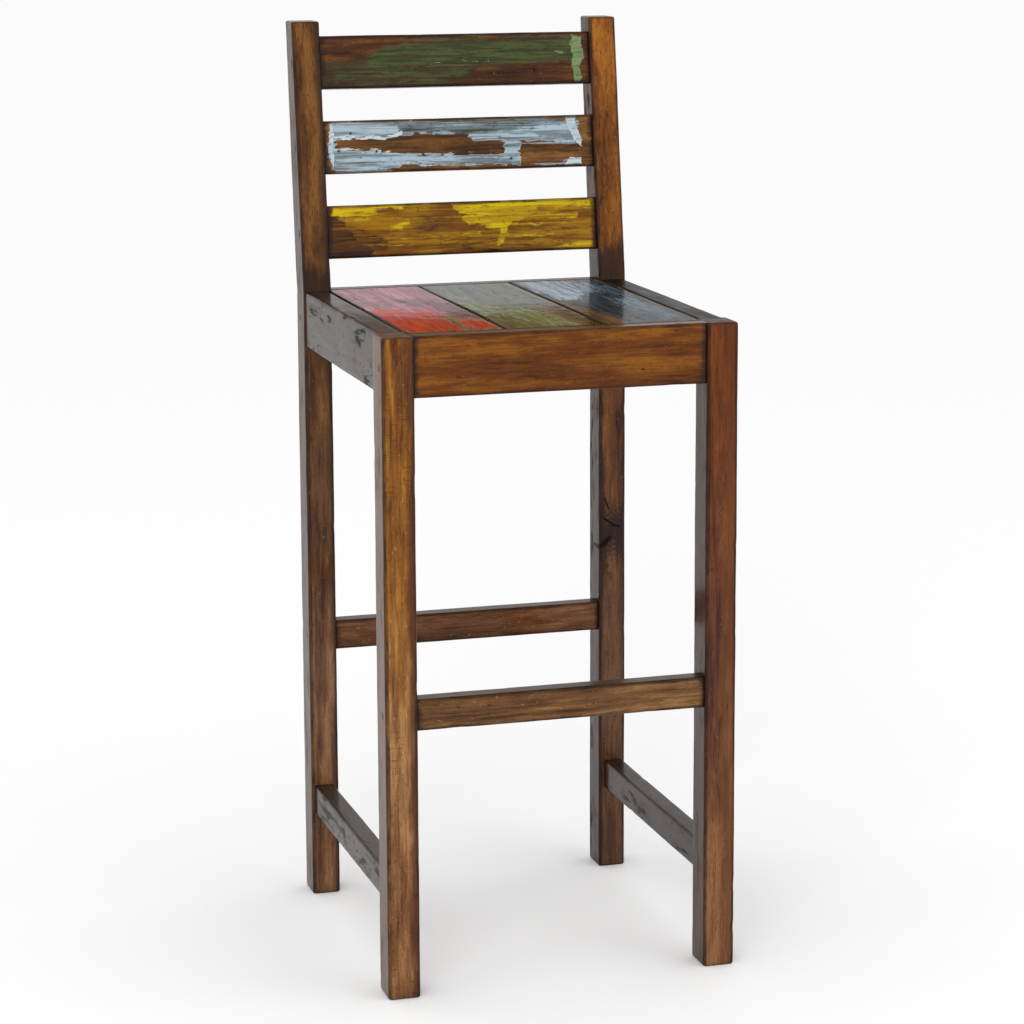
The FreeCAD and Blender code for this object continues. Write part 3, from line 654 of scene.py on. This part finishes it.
MIDDLE_GREY = (
    (0.8, ((0.27, 0.7, 0.92), (0.42, 0.74, 1.0), (0.56, 0.62, 1.0), (0.8, 0.78, 1.0),
           (0.93, 0.88, 1.0))),
    (0.6, ((0.4, 0.08, 0.16), (0.62, 0.08, 0.2), (0.72, 0.06, 0.12))),
)
MIDDLE_WHITE = (
    (1.0, ((0.902, 0.88, 0.97), (0.925, 0.55, 0.96), (0.935, 0.42, 0.92), (0.948, 0.38, 0.62),
           (0.956, 0.36, 0.5))),
    (1.0, ((0.89, 0.06, 0.1), (0.91, 0.05, 0.17), (0.95, 0.06, 0.19))),
    (1.0, ((0.02, 0.4, 0.7), (0.028, 0.18, 0.9), (0.036, 0.12, 0.93))),
    (0.9, ((0.028, 0.64, 0.7), (0.15, 0.635, 0.69), (0.262, 0.64, 0.69), (0.288, 0.7, 0.76))),
    (0.8, ((0.03, 0.42, 0.48), (0.1, 0.44, 0.48), (0.24, 0.37, 0.42))),
)

BOTTOM_WASH = (
    (1.0, ((0.06, 0.1, 0.8), (0.12, 0.02, 0.9), (0.4, 0.02, 0.96), (0.7, 0.04, 0.96),
           (0.985, 0.04, 1.0))),
)
BOTTOM_BRIGHT = (
    (1.0, ((0.03, 0.8, 1.0), (0.08, 0.78, 1.05), (0.18, 0.88, 1.05), (0.33, 0.93, 1.05),
           (0.42, 0.97, 1.05))),
    (0.8, ((0.04, 0.74, 0.88), (0.075, 0.72, 0.93), (0.105, 0.8, 0.93))),
    (0.72, ((0.085, 0.73, 0.9), (0.14, 0.72, 0.95), (0.19, 0.86, 0.97))),
    (1.0, ((0.466, 0.84, 0.96), (0.48, 0.78, 0.97), (0.56, 0.7, 0.98), (0.61, 0.66, 0.98),
           (0.65, 0.7, 0.99))),
    (0.72, ((0.5, 0.56, 0.8), (0.56, 0.52, 0.76), (0.64, 0.42, 0.72), (0.665, 0.3, 0.7))),
    (1.15, ((0.65, 0.6, 0.99), (0.7, 0.58, 0.99), (0.75, 0.68, 0.99), (0.775, 0.8, 0.98))),
    (1.0, ((0.64, 0.88, 1.05), (0.75, 0.86, 1.05), (0.85, 0.84, 1.05), (0.995, 0.84, 1.05))),
    (0.9, ((0.745, 0.66, 0.72), (0.82, 0.63, 0.69), (0.925, 0.63, 0.67))),
    (1.35, ((0.626, 0.14, 0.24), (0.64, 0.2, 0.42), (0.652, 0.32, 0.58), (0.664, 0.48, 0.8),
           (0.684, 0.6, 0.98))),
    (0.72, ((0.69, 0.28, 0.33), (0.84, 0.29, 0.32))),
    (0.62, ((0.55, 0.5, 0.56), (0.98, 0.46, 0.52))),
    (0.62, ((0.28, 0.36, 0.42), (0.56, 0.34, 0.38))),
    (0.6, ((0.2, 0.16, 0.22), (0.62, 0.13, 0.17))),
    (1.35, ((0.84, 0.01, 0.07), (0.9, 0.02, 0.13), (0.965, 0.06, 0.18), (0.982, 0.1, 0.18))),
    (0.95, ((0.235, 0.52, 0.56), (0.262, 0.5, 0.62), (0.3, 0.6, 0.7))),
)
BOTTOM_DARK = (
    (1.05, ((-0.05, -0.1, 0.86), (0.03, -0.1, 0.8), (0.07, -0.1, 0.62), (0.11, -0.1, 0.35),
           (0.17, -0.1, 0.15))),
    (0.56, ((0.05, 0.2, 0.66), (0.14, 0.15, 0.55), (0.23, 0.1, 0.3))),
    (0.4, ((0.28, 0.3, 0.8), (0.42, 0.45, 0.78), (0.47, 0.5, 0.7))),
    (0.36, ((0.48, -0.05, 0.3), (0.64, -0.05, 0.34), (0.9, -0.05, 0.2))),
)

TOP_OLIVE = (
    (0.92, ((0.0, -0.1, 0.5), (0.12, -0.1, 0.56), (0.3, -0.1, 0.8), (0.45, -0.05, 0.9),
            (0.52, 0.1, 0.9), (0.6, 0.34, 0.9), (0.94, 0.44, 0.92))),
)
TOP_GREEN = (
    (0.7, ((0.18, 0.25, 0.66), (0.3, 0.3, 0.86), (0.5, 0.36, 0.92), (0.7, 0.4, 0.94),
            (0.86, 0.46, 0.95), (0.94, 0.5, 0.9))),
    (0.78, ((0.56, 0.52, 0.86), (0.7, 0.5, 0.92), (0.9, 0.6, 0.9))),
    (0.44, ((0.05, 0.1, 0.46), (0.25, 0.06, 0.5), (0.48, 0.1, 0.45), (0.54, 0.2, 0.4))),
)
TOP_LIGHT = (
    (1.0, ((0.93, 0.8, 0.93), (0.934, 0.1, 0.93), (0.948, 0.03, 0.92), (0.964, 0.05, 0.9),
           (0.968, 0.5, 0.88))),
    (0.66, ((0.4, 0.42, 0.46), (0.56, 0.44, 0.49), (0.64, 0.46, 0.5))),
    (0.6, ((0.7, 0.62, 0.66), (0.9, 0.6, 0.65))),
)


def layout(coats, sign, seed, stretch, soft_along, soft_across):
    """A paint function for bar(), from a list of patches for each of three coats.

    sign: 1 paints the face that looks along axis b, and -1 the opposite one.
    stretch: the length of the timber over its width.
    """
    def paint(along, across, out_b):
        face = smooth(0.15, 0.75, out_b * sign)
        if face <= 0.0:
            return 0.0, 0.0, 0.0
        u, v = warped(along, (across + 1) / 2, seed, stretch)
        return tuple(face * deepest(u, v, patches, soft_along, soft_across) for patches in coats)
    return paint


middle_slat_paint = layout((MIDDLE_BLUE, MIDDLE_GREY, MIDDLE_WHITE), -1, 3.0, 5.2, 0.01, 0.07)
bottom_slat_paint = layout((BOTTOM_WASH, BOTTOM_BRIGHT, BOTTOM_DARK), -1, 5.0, 5.2, 0.014, 0.07)
top_slat_paint = layout((TOP_OLIVE, TOP_GREEN, TOP_LIGHT), -1, 7.0, 5.2, 0.014, 0.08)

LEFT_PINK = ((1.0, ((-0.1, 0.02, 0.98), (0.45, 0.02, 0.98), (0.6, 0.05, 0.8), (0.7, 0.05, 0.35))),)
LEFT_GREY = (
    (0.48, ((-0.1, 0.0, 0.5), (0.05, 0.1, 0.5), (0.16, 0.15, 0.45), (0.24, 0.3, 0.5))),
    (0.62, ((0.26, -0.1, 0.4), (0.36, -0.1, 0.45), (0.46, 0.0, 0.4))),
    (0.82, ((0.28, 0.4, 0.95), (0.42, 0.5, 1.0), (0.6, 0.72, 1.0), (0.75, 0.8, 1.0))),
    (0.62, ((0.1, 0.05, 0.3), (0.4, 0.02, 0.22))),
)
LEFT_ORANGE = (
    (1.0, ((0.46, 0.1, 0.22), (0.56, 0.03, 0.45), (0.72, 0.03, 0.58), (0.86, 0.03, 0.62),
           (0.985, 0.04, 0.6))),
    (0.95, ((0.76, 0.74, 0.88), (0.84, 0.7, 0.97), (0.985, 0.72, 0.97))),
    (0.7, ((0.5, 0.4, 0.6), (0.66, 0.48, 0.72), (0.74, 0.55, 0.7))),
)
CENTRE_GREY = (
    (1.0, ((-0.1, 0.02, 0.98), (0.4, 0.02, 0.98), (0.52, 0.1, 0.9), (0.6, 0.3, 0.75))),
)
CENTRE_OLIVE = (
    (0.9, ((0.36, 0.02, 0.4), (0.5, 0.02, 0.8), (0.75, 0.02, 0.7), (0.99, 0.04, 0.55))),
    (0.6, ((-0.1, 0.6, 1.0), (0.3, 0.7, 1.0))),
)
CENTRE_LIME = (
    (0.86, ((0.42, 0.05, 0.2), (0.55, 0.04, 0.34), (0.72, 0.04, 0.26))),
    (0.9, ((0.6, 0.3, 0.55), (0.74, 0.3, 0.72), (0.86, 0.36, 0.74), (0.98, 0.5, 0.72))),
    (0.62, ((0.05, 0.1, 0.24), (0.34, 0.06, 0.2))),
)
RIGHT_NAVY = (
    (1.0, ((-0.1, 0.02, 0.98), (0.4, 0.04, 0.98), (0.55, 0.12, 0.98), (0.7, 0.18, 0.98),
           (0.97, 0.26, 0.98))),
)
RIGHT_PALE = (
    (0.95, ((-0.1, 0.02, 0.3), (0.06, 0.02, 0.62), (0.22, 0.04, 0.6), (0.34, 0.08, 0.45),
           (0.46, 0.1, 0.3))),
    (0.66, ((0.05, 0.6, 0.8), (0.3, 0.5, 0.72))),
)
RIGHT_SLATE = (
    (0.8, ((0.45, 0.62, 0.9), (0.62, 0.56, 0.92), (0.8, 0.6, 0.92), (0.94, 0.7, 0.9))),
    (0.66, ((0.15, 0.7, 0.95), (0.4, 0.75, 0.95))),
)
left_board_paint = layout((LEFT_PINK, LEFT_GREY, LEFT_ORANGE), 1, 11.0, 3.3, 0.06, 0.1)
centre_board_paint = layout((CENTRE_GREY, CENTRE_OLIVE, CENTRE_LIME), 1, 12.0, 3.3, 0.07, 0.12)
right_board_paint = layout((RIGHT_NAVY, RIGHT_PALE, RIGHT_SLATE), 1, 13.0, 3.3, 0.06, 0.1)


# ---------------------------------------------------------------- the materials

golden = wood(
    "wood_front_leg_left", 2, 1.0, (0.07, 0.02, 0.003), (0.178, 0.065, 0.009), (0.285, 0.132, 0.022),
    varnish=0.58, top_dull=0.1, sawn=0.8,
    tints=((1.12, 1.24, 2.8), (1.2, 1.15, 0.7), 0.3, 0.7),
    shade_flank=(-0.1895, -0.1815, (0.062, 0.015, 0.005), 0.85))
russet = wood(
    "wood_front_leg_right", 2, 2.0, (0.045, 0.008, 0.002), (0.105, 0.024, 0.003), (0.165, 0.048, 0.007),
    top_dull=0.8, flecks=0.15,
    tints=((1.28, 2.0, 5.6), (0.84, 0.74, 0.6), 0.3, 0.95),
    shade_flank=(0.192, 0.206, (0.11, 0.028, 0.005), 0.55))
umber = wood(
    "wood_rear_leg_left", 2, 3.0, (0.052, 0.017, 0.005), (0.135, 0.05, 0.01), (0.215, 0.092, 0.022),
    tints=((1.06, 1.22, 2.4), (0.8, 0.76, 0.6), 0.25, 0.75),
    shade_flank=(-0.187, -0.179, (0.036, 0.014, 0.006), 0.75))
walnut = wood(
    "wood_rear_leg_right", 2, 4.0, (0.05, 0.014, 0.003), (0.165, 0.05, 0.005), (0.27, 0.092, 0.01),
    cracks=1.0, tints=((0.46, 0.62, 2.6), (1.12, 1.1, 0.8), 0.3, 0.85),
    knot=(0.192, 0.163, 0.452),
    gashes=(((0.192, 0.163, 0.466), 0.55, 0.014, 0.0016),
            ((0.199, 0.163, 0.461), 0.1, 0.011, 0.0011),
            ((0.184, 0.163, 0.44), -0.75, 0.013, 0.0036),
            ((0.186, 0.163, 0.492), 1.25, 0.012, 0.001)))
apron = wood(
    "wood_front_apron", 0, 5.0, (0.05, 0.01, 0.001), (0.122, 0.032, 0.001), (0.192, 0.066, 0.004),
    pits=0.85, sawn=0.35)
rear_apron_wood = wood(
    "wood_rear_apron", 0, 6.0, (0.045, 0.014, 0.004), (0.11, 0.04, 0.01), (0.18, 0.075, 0.02))
side_wood = wood(
    "wood_side_aprons", 1, 7.0, (0.038, 0.018, 0.01), (0.09, 0.048, 0.026), (0.15, 0.085, 0.046),
    pits=1.0, cracks=1.0, side_shade=0.82)
side_wood_right = wood(
    "wood_side_apron_right", 1, 7.5, (0.03, 0.013, 0.007), (0.07, 0.032, 0.016), (0.12, 0.058, 0.03),
    pits=1.0, cracks=1.0, side_shade=0.82, top_dull=0.92,
    shade_flank=(0.203, 0.194, (0.008, 0.005, 0.004), 0.85))
rail_cross = wood(
    "wood_footrest", 0, 8.0, (0.055, 0.02, 0.006), (0.14, 0.06, 0.018), (0.24, 0.125, 0.045))
rail_rear = wood(
    "wood_rear_stretcher", 0, 9.0, (0.042, 0.013, 0.004), (0.11, 0.038, 0.012), (0.19, 0.085, 0.034))
rail_side = wood(
    "wood_side_stretchers", 1, 10.0, (0.038, 0.02, 0.012), (0.09, 0.052, 0.034), (0.15, 0.095, 0.066),
    pits=0.9, cracks=0.8, side_shade=0.82)
batten_wood = wood(
    "wood_battens", 0, 12.0, (0.07, 0.035, 0.018), (0.16, 0.09, 0.05), (0.26, 0.16, 0.09),
    varnish=0.05, side_shade=0.0)
plug_wood = wood(
    "wood_plugs", 2, 13.0, (0.008, 0.005, 0.003), (0.018, 0.01, 0.007), (0.035, 0.02, 0.013),
    side_shade=0.0)

middle_slat = wood(
    "paint_slat_middle", 0, 14.0, (0.055, 0.02, 0.005), (0.15, 0.06, 0.012), (0.24, 0.112, 0.03),
    holes=[(slat_spot("back_slat_middle", along, across), 1.3 * MM)
           for along, across in ((0.04, 0.59), (0.042, 0.5), (0.052, 0.43), (0.098, 0.75),
                                 (0.19, 0.4), (0.212, 0.4), (0.69, 0.2))],
    coats=(
        ((0.165, 0.215, 0.24), (0.37, 0.49, 0.57), 0.07, 0.5, 0.9, 0.9),
        ((0.05, 0.058, 0.048), (0.15, 0.19, 0.205), 0.18, 0.45, 1.2, 0.15),
        ((0.43, 0.54, 0.6), (0.56, 0.65, 0.69), 0.06, 0.5, 0.3, 0.9),
    ))
bottom_slat = wood(
    "paint_slat_bottom", 0, 15.0, (0.06, 0.02, 0.003), (0.16, 0.055, 0.004), (0.24, 0.095, 0.005),
    coats=(
        ((0.165, 0.058, 0.001), (0.345, 0.172, 0.001), 0.32, 0.6, 0.9, 0.1),
        ((0.64, 0.47, 0.001), (0.44, 0.27, 0.001), 0.13, 0.55, 0.85, 0.6),
        ((0.034, 0.011, 0.005), (0.075, 0.026, 0.005), 0.3, 0.8, 0.9, 0.0),
    ))
top_slat = wood(
    "paint_slat_top", 0, 16.0, (0.024, 0.007, 0.002), (0.062, 0.019, 0.004), (0.14, 0.048, 0.009),
    holes=[(slat_spot("back_slat_top", 0.79, 0.28), 2.4 * MM),
           (slat_spot("back_slat_top", 0.791, 0.05), 1.2 * MM)],
    coats=(
        ((0.03, 0.018, 0.007), (0.05, 0.033, 0.013), 0.28, 0.6, 0.8, 0.1),
        ((0.03, 0.04, 0.011), (0.066, 0.086, 0.026), 0.24, 0.6, 1.5, 0.2),
        ((0.14, 0.215, 0.09), (0.19, 0.27, 0.12), 0.06, 0.45, 0.3, 0.7),
    ))
# The seat boards get a strong, wide dark line along their arrises: partly stain, partly painted shade of
# the gaps between the boards.
SEAT = {"edge": 1.6, "edge_reach": 0.42, "varnish": 0.49, "satin": 0.0,
        "side_shade": 0.0, "top_dull": 0.0}
left_board = wood(
    "paint_board_left", 1, 17.0, (0.05, 0.024, 0.006), (0.1, 0.058, 0.016), (0.15, 0.09, 0.026),
    coats=(
        ((0.48, 0.15, 0.245), (0.27, 0.055, 0.1), 0.24, 0.55, 0.6, 0.2),
        ((0.075, 0.024, 0.03), (0.15, 0.034, 0.05), 0.24, 0.6, 0.6, 0.1),
        ((0.45, 0.032, 0.003), (0.29, 0.018, 0.003), 0.12, 0.65, 0.5, 0.4),
    ), **SEAT)
centre_board = wood(
    "paint_board_centre", 1, 18.0, (0.045, 0.024, 0.008), (0.095, 0.055, 0.016), (0.15, 0.09, 0.026),
    coats=(
        ((0.045, 0.055, 0.036), (0.085, 0.095, 0.068), 0.26, 0.6, 0.6, 0.2),
        ((0.052, 0.044, 0.01), (0.1, 0.086, 0.018), 0.28, 0.7, 0.8, 0.15),
        ((0.095, 0.118, 0.026), (0.18, 0.21, 0.08), 0.16, 0.75, 0.9, 0.25),
    ), **SEAT)
right_board = wood(
    "paint_board_right", 1, 19.0, (0.04, 0.018, 0.006), (0.095, 0.048, 0.018), (0.15, 0.08, 0.032),
    coats=(
        ((0.012, 0.024, 0.03), (0.03, 0.048, 0.056), 0.2, 0.6, 0.8, 0.2),
        ((0.13, 0.17, 0.235), (0.33, 0.39, 0.46), 0.14, 0.7, 0.9, 0.35),
        ((0.034, 0.058, 0.092), (0.1, 0.14, 0.185), 0.14, 0.7, 1.3, 0.25),
    ), **{**SEAT, "varnish": 0.34})


def steel_material():
    g = Graph("steel_screws")
    scratch = g.noise(g.place(2, 1.0, 300.0, 900.0), 4.0, 0.6)
    rust = g.noise(g.place(2, 2.0, 160.0, 160.0), 4.0, 0.6)
    colour = g.mix(g.step(scratch, 0.4, 0.7), (0.42, 0.41, 0.4), (0.58, 0.57, 0.56))
    colour = g.mix(g.times(g.step(rust, 0.56, 0.7), 0.6), colour, (0.16, 0.06, 0.025))
    shader = g.add("ShaderNodeBsdfPrincipled")
    g.put(colour, shader.inputs["Base Color"])
    shader.inputs["Metallic"].default_value = 0.9
    g.put(g.math("ADD", g.times(scratch, 0.3), 0.25), shader.inputs["Roughness"])
    g.bump(rust, 0.3, 0.2 * MM, shader.inputs["Normal"])
    g.put(shader.outputs["BSDF"], g.output.inputs["Surface"])
    return g.material


def finish_with(item, material):
    item.data.materials.clear()
    item.data.materials.append(material)


def timber(name, material, slot, stations, **shape):
    """Builds the timber that stands in for a CAD node."""
    item = bar(name + "_wood", stations, slot, **shape)
    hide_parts(name)
    finish_with(item, material)


def box_parts(name):
    """The low and high corners, the middle and the half size of a CAD node's box."""
    low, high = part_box(name)
    return low, high, (low + high) / 2, (high - low) / 2


steel = steel_material()
for name in ("frame_screws", "seat_screws", "batten_screws"):
    finish_with(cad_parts[name], steel)
finish_with(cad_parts["screw_plugs"], plug_wood)

# ---------------------------------------------------------------- legs

LEG = {"corner": 3.4 * MM, "wear": 0.4 * MM, "cell": 3.0 * MM}
FRONT_LEG_END = 3.2 * MM
REAR_LEG_END = 2.6 * MM
BEND = 0.03               # half the length over which a rear leg starts to lean

joint_heights = []
for name in ("front_apron", "footrest", "back_slat_bottom", "back_slat_middle", "back_slat_top"):
    low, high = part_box(name)
    joint_heights.append((low.z, high.z))

# Beside a rail a leg is darkened: partly grime, partly painted shade where the rail meets it.
RAIL_GRIME_AND_SHADE = 0.75
# Painted shade down the inner side of the front left leg.
LEFT_FRONT_SHADE = 0.66
POST_GRIME = 0.95
POST_GRIME_FULL = 12 * MM
POST_GRIME_TOP = {"left": 62 * MM, "right": 92 * MM}


def joint_grime_and_shade(point):
    """Darkening on a leg: a dark strip beside each rail on its inner side, partly grime and partly
    painted shade where the rail meets it, and a dark patch where a post leaves the seat.
    """
    inward = 1 - smooth(0.0, 7.0 * MM, abs(point.x) - inner_x)
    worst = 0.0
    for low, high in joint_heights:
        beside = smooth(low - 6 * MM, low + 2 * MM, point.z)
        beside *= 1 - smooth(high - 2 * MM, high + 6 * MM, point.z)
        worst = max(worst, RAIL_GRIME_AND_SHADE * inward * beside)
    # Painted shade down the inner side of the front left leg, where its rounded corner turns away from
    # the light.
    if point.y < 0 and point.x < 0:
        worst = max(worst, LEFT_FRONT_SHADE * inward)
    if point.y > 0:
        top = POST_GRIME_TOP["right" if point.x > 0 else "left"]
        patch_share = smooth(SEAT_TOP - POST_GRIME_FULL, SEAT_TOP, point.z)
        patch_share *= 1 - smooth(SEAT_TOP + POST_GRIME_FULL, SEAT_TOP + top, point.z)
        worst = max(worst, POST_GRIME * patch_share)
    return worst


for name, material, seed in (("front_leg_left", golden, 1.0), ("front_leg_right", russet, 2.0)):
    low, high, middle, half = box_parts(name)
    stations = [(Vector((middle.x, middle.y, level)), X, Y, half.x, half.y) for level in (low.z, high.z)]
    timber(name, material, "leg_wood", stations,
           seed=seed, end_round=FRONT_LEG_END, stain=joint_grime_and_shade, **LEG)

for name, material, seed in (("rear_leg_left", umber, 3.0), ("rear_leg_right", walnut, 4.0)):
    low, high, middle, half = box_parts(name)
    foot_front, foot_back, top_front, top_back = rear_profile(name)
    stations = []
    for level in (low.z, KINK * 0.5, KINK - BEND, KINK, KINK + BEND, (KINK + high.z) / 2, high.z):
        share = max(0.0, (level - KINK) / (high.z - KINK))
        front = foot_front + (top_front - foot_front) * share
        back = foot_back + (top_back - foot_back) * share
        place = Vector((middle.x, (front + back) / 2, level))
        stations.append((place, X, Y, half.x, (back - front) / 2))
    timber(name, material, "leg_wood", stations,
           seed=seed, end_round=REAR_LEG_END, stain=joint_grime_and_shade, **LEG)

# ---------------------------------------------------------------- rails

RAIL = {"corner": 2.8 * MM, "wear": 0.35 * MM, "cell": 3.5 * MM, "free_ends": (False, False)}
cross_reach = inner_x + HIDDEN
side_reach = (leg_back_front - HIDDEN, rear_front_face + HIDDEN)

for name, material, seed in (
    ("front_apron", apron, 5.0),
    ("rear_apron", rear_apron_wood, 6.0),
    ("footrest", rail_cross, 8.0),
    ("rear_stretcher", rail_rear, 9.0),
):
    _, _, middle, half = box_parts(name)
    stations = [(Vector((x, middle.y, middle.z)), Z, -Y, half.z, half.y)
                for x in (-cross_reach, cross_reach)]
    timber(name, material, "rail_wood", stations, seed=seed, **RAIL)

for name, material, seed in (
    ("side_apron_left", side_wood, 7.0),
    ("side_apron_right", side_wood_right, 7.5),
    ("side_stretcher_left", rail_side, 10.0),
    ("side_stretcher_right", rail_side, 10.5),
):
    _, _, middle, half = box_parts(name)
    stations = [(Vector((middle.x, y, middle.z)), Z, X, half.z, half.x) for y in side_reach]
    timber(name, material, "rail_wood", stations, seed=seed, **RAIL)

# ---------------------------------------------------------------- back slats

SLAT = {"corner": 3.2 * MM, "wear": 0.45 * MM, "cell": 1.6 * MM, "free_ends": (False, False)}

for name, material, slot, seed, design in (
    ("back_slat_top", top_slat, "green_slat_wood", 16.0, top_slat_paint),
    ("back_slat_middle", middle_slat, "white_slat_wood", 14.0, middle_slat_paint),
    ("back_slat_bottom", bottom_slat, "yellow_slat_wood", 15.0, bottom_slat_paint),
):
    middle, up, front, half_up, half_front = slat_frame(name)
    stations = [(middle + X * x, up, -front, half_up, half_front) for x in (-cross_reach, cross_reach)]
    timber(name, material, slot, stations, seed=seed, paint=design, **SLAT)

# ---------------------------------------------------------------- seat

BOARD = {"corner": 1.8 * MM, "wear": 0.4 * MM, "cell": 2.6 * MM, "end_round": 1.6 * MM}
NOTCH_GAP = 0.5 * MM
NOTCH_STEP = 0.01 * MM    # the length over which a notch opens, so that it comes out square
notch_rear = rear_front_face - NOTCH_GAP
notch_front = leg_back_front + NOTCH_GAP


def notched(point):
    """Keeps a seat board clear of the legs' inner corners."""
    if notch_front < point.y < notch_rear:
        return point
    limit = inner_x - NOTCH_GAP
    return Vector((min(limit, max(-limit, point.x)), point.y, point.z))


for name, material, slot, seed, design in (
    ("seat_board_left", left_board, "red_paint_wood", 17.0, left_board_paint),
    ("seat_board_centre", centre_board, "green_paint_wood", 18.0, centre_board_paint),
    ("seat_board_right", right_board, "blue_paint_wood", 19.0, right_board_paint),
):
    low, high, middle, half = box_parts(name)
    stations = [(Vector((middle.x, y, middle.z)), X, Z, half.x, half.z) for y in (high.y, low.y)]
    cuts = [high.y - notch_rear, high.y - notch_rear + NOTCH_STEP,
            high.y - notch_front - NOTCH_STEP, high.y - notch_front]
    timber(name, material, slot, stations, seed=seed, paint=design, cuts=cuts, trim=notched, **BOARD)

for name in ("seat_batten_front", "seat_batten_rear"):
    finish_with(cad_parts[name], batten_wood)

# ---------------------------------------------------------------- studio

FLOOR_HALF = 40.0
FLOOR_COLOUR = (0.96, 0.96, 0.96, 1.0)
WORLD_COLOUR = (1.0, 1.0, 1.0, 1.0)
LIGHT_TARGET = (0, 0, 0.6)

floor_mesh = bpy.data.meshes.new("studio_floor")
floor_corners = [(FLOOR_HALF * x, FLOOR_HALF * y, 0) for x, y in ((-1, -1), (1, -1), (1, 1), (-1, 1))]
floor_mesh.from_pydata(floor_corners, [], [(0, 1, 2, 3)])
floor = bpy.data.objects.new("studio_floor", floor_mesh)
bpy.context.collection.objects.link(floor)
paper = Graph("studio_paper")
paper_shader = paper.add("ShaderNodeBsdfPrincipled")
paper_shader.inputs["Base Color"].default_value = FLOOR_COLOUR
paper_shader.inputs["Roughness"].default_value = 0.95
paper_shader.inputs["Specular IOR Level"].default_value = 0.0
paper.put(paper_shader.outputs["BSDF"], paper.output.inputs["Surface"])
finish_with(floor, paper.material)
floor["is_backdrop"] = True

world = bpy.data.worlds.new("studio")
bpy.context.scene.world = world
world.use_nodes = True
background = world.node_tree.nodes["Background"]
background.inputs["Strength"].default_value = 1.0
background.inputs["Color"].default_value = WORLD_COLOUR


def area_light(name, place, size, power):
    """A square light that looks at the stool."""
    data = bpy.data.lights.new(name, "AREA")
    data.shape = "RECTANGLE"
    data.size = size
    data.size_y = size
    data.energy = power
    lamp = bpy.data.objects.new(name, data)
    lamp.location = place
    lamp.rotation_euler = (Vector(LIGHT_TARGET) - Vector(place)).to_track_quat("-Z", "Y").to_euler()
    bpy.context.collection.objects.link(lamp)


area_light("key_light", (-1.7, -3.0, 2.7), 1.3, 26.0)
area_light("fill_light", (2.2, -2.6, 2.0), 1.2, 6.0)

# ---------------------------------------------------------------- camera

CAMERA_PLACE = Vector((-1.06868, -3.69792, 1.3107))
CAMERA_YAW = math.radians(16.9611)      # to the right of +Y
CAMERA_PITCH = math.radians(-10.453)   # below the horizon
CAMERA_ROLL = math.radians(-0.1269)

camera_data = bpy.data.cameras.new("camera")
camera_data.sensor_width = 36.0
camera_data.lens = 111.805
camera_data.shift_x = -0.0369
camera_data.shift_y = -0.06
camera = bpy.data.objects.new("camera", camera_data)
level = math.cos(CAMERA_PITCH)
ahead = Vector((math.sin(CAMERA_YAW) * level, math.cos(CAMERA_YAW) * level, math.sin(CAMERA_PITCH)))
right = Vector((math.cos(CAMERA_YAW), -math.sin(CAMERA_YAW), 0.0))
up = right.cross(ahead)
rolled_right = right * math.cos(CAMERA_ROLL) + up * math.sin(CAMERA_ROLL)
rolled_up = up * math.cos(CAMERA_ROLL) - right * math.sin(CAMERA_ROLL)
turn = Matrix((rolled_right, rolled_up, -ahead)).transposed()
camera.matrix_world = Matrix.Translation(CAMERA_PLACE) @ turn.to_4x4()
bpy.context.collection.objects.link(camera)
bpy.context.scene.camera = camera

scene = bpy.context.scene
scene.view_settings.view_transform = "Standard"
scene.view_settings.look = "None"
scene.view_settings.exposure = 0.0
scene.view_settings.gamma = 1.0

low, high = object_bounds()
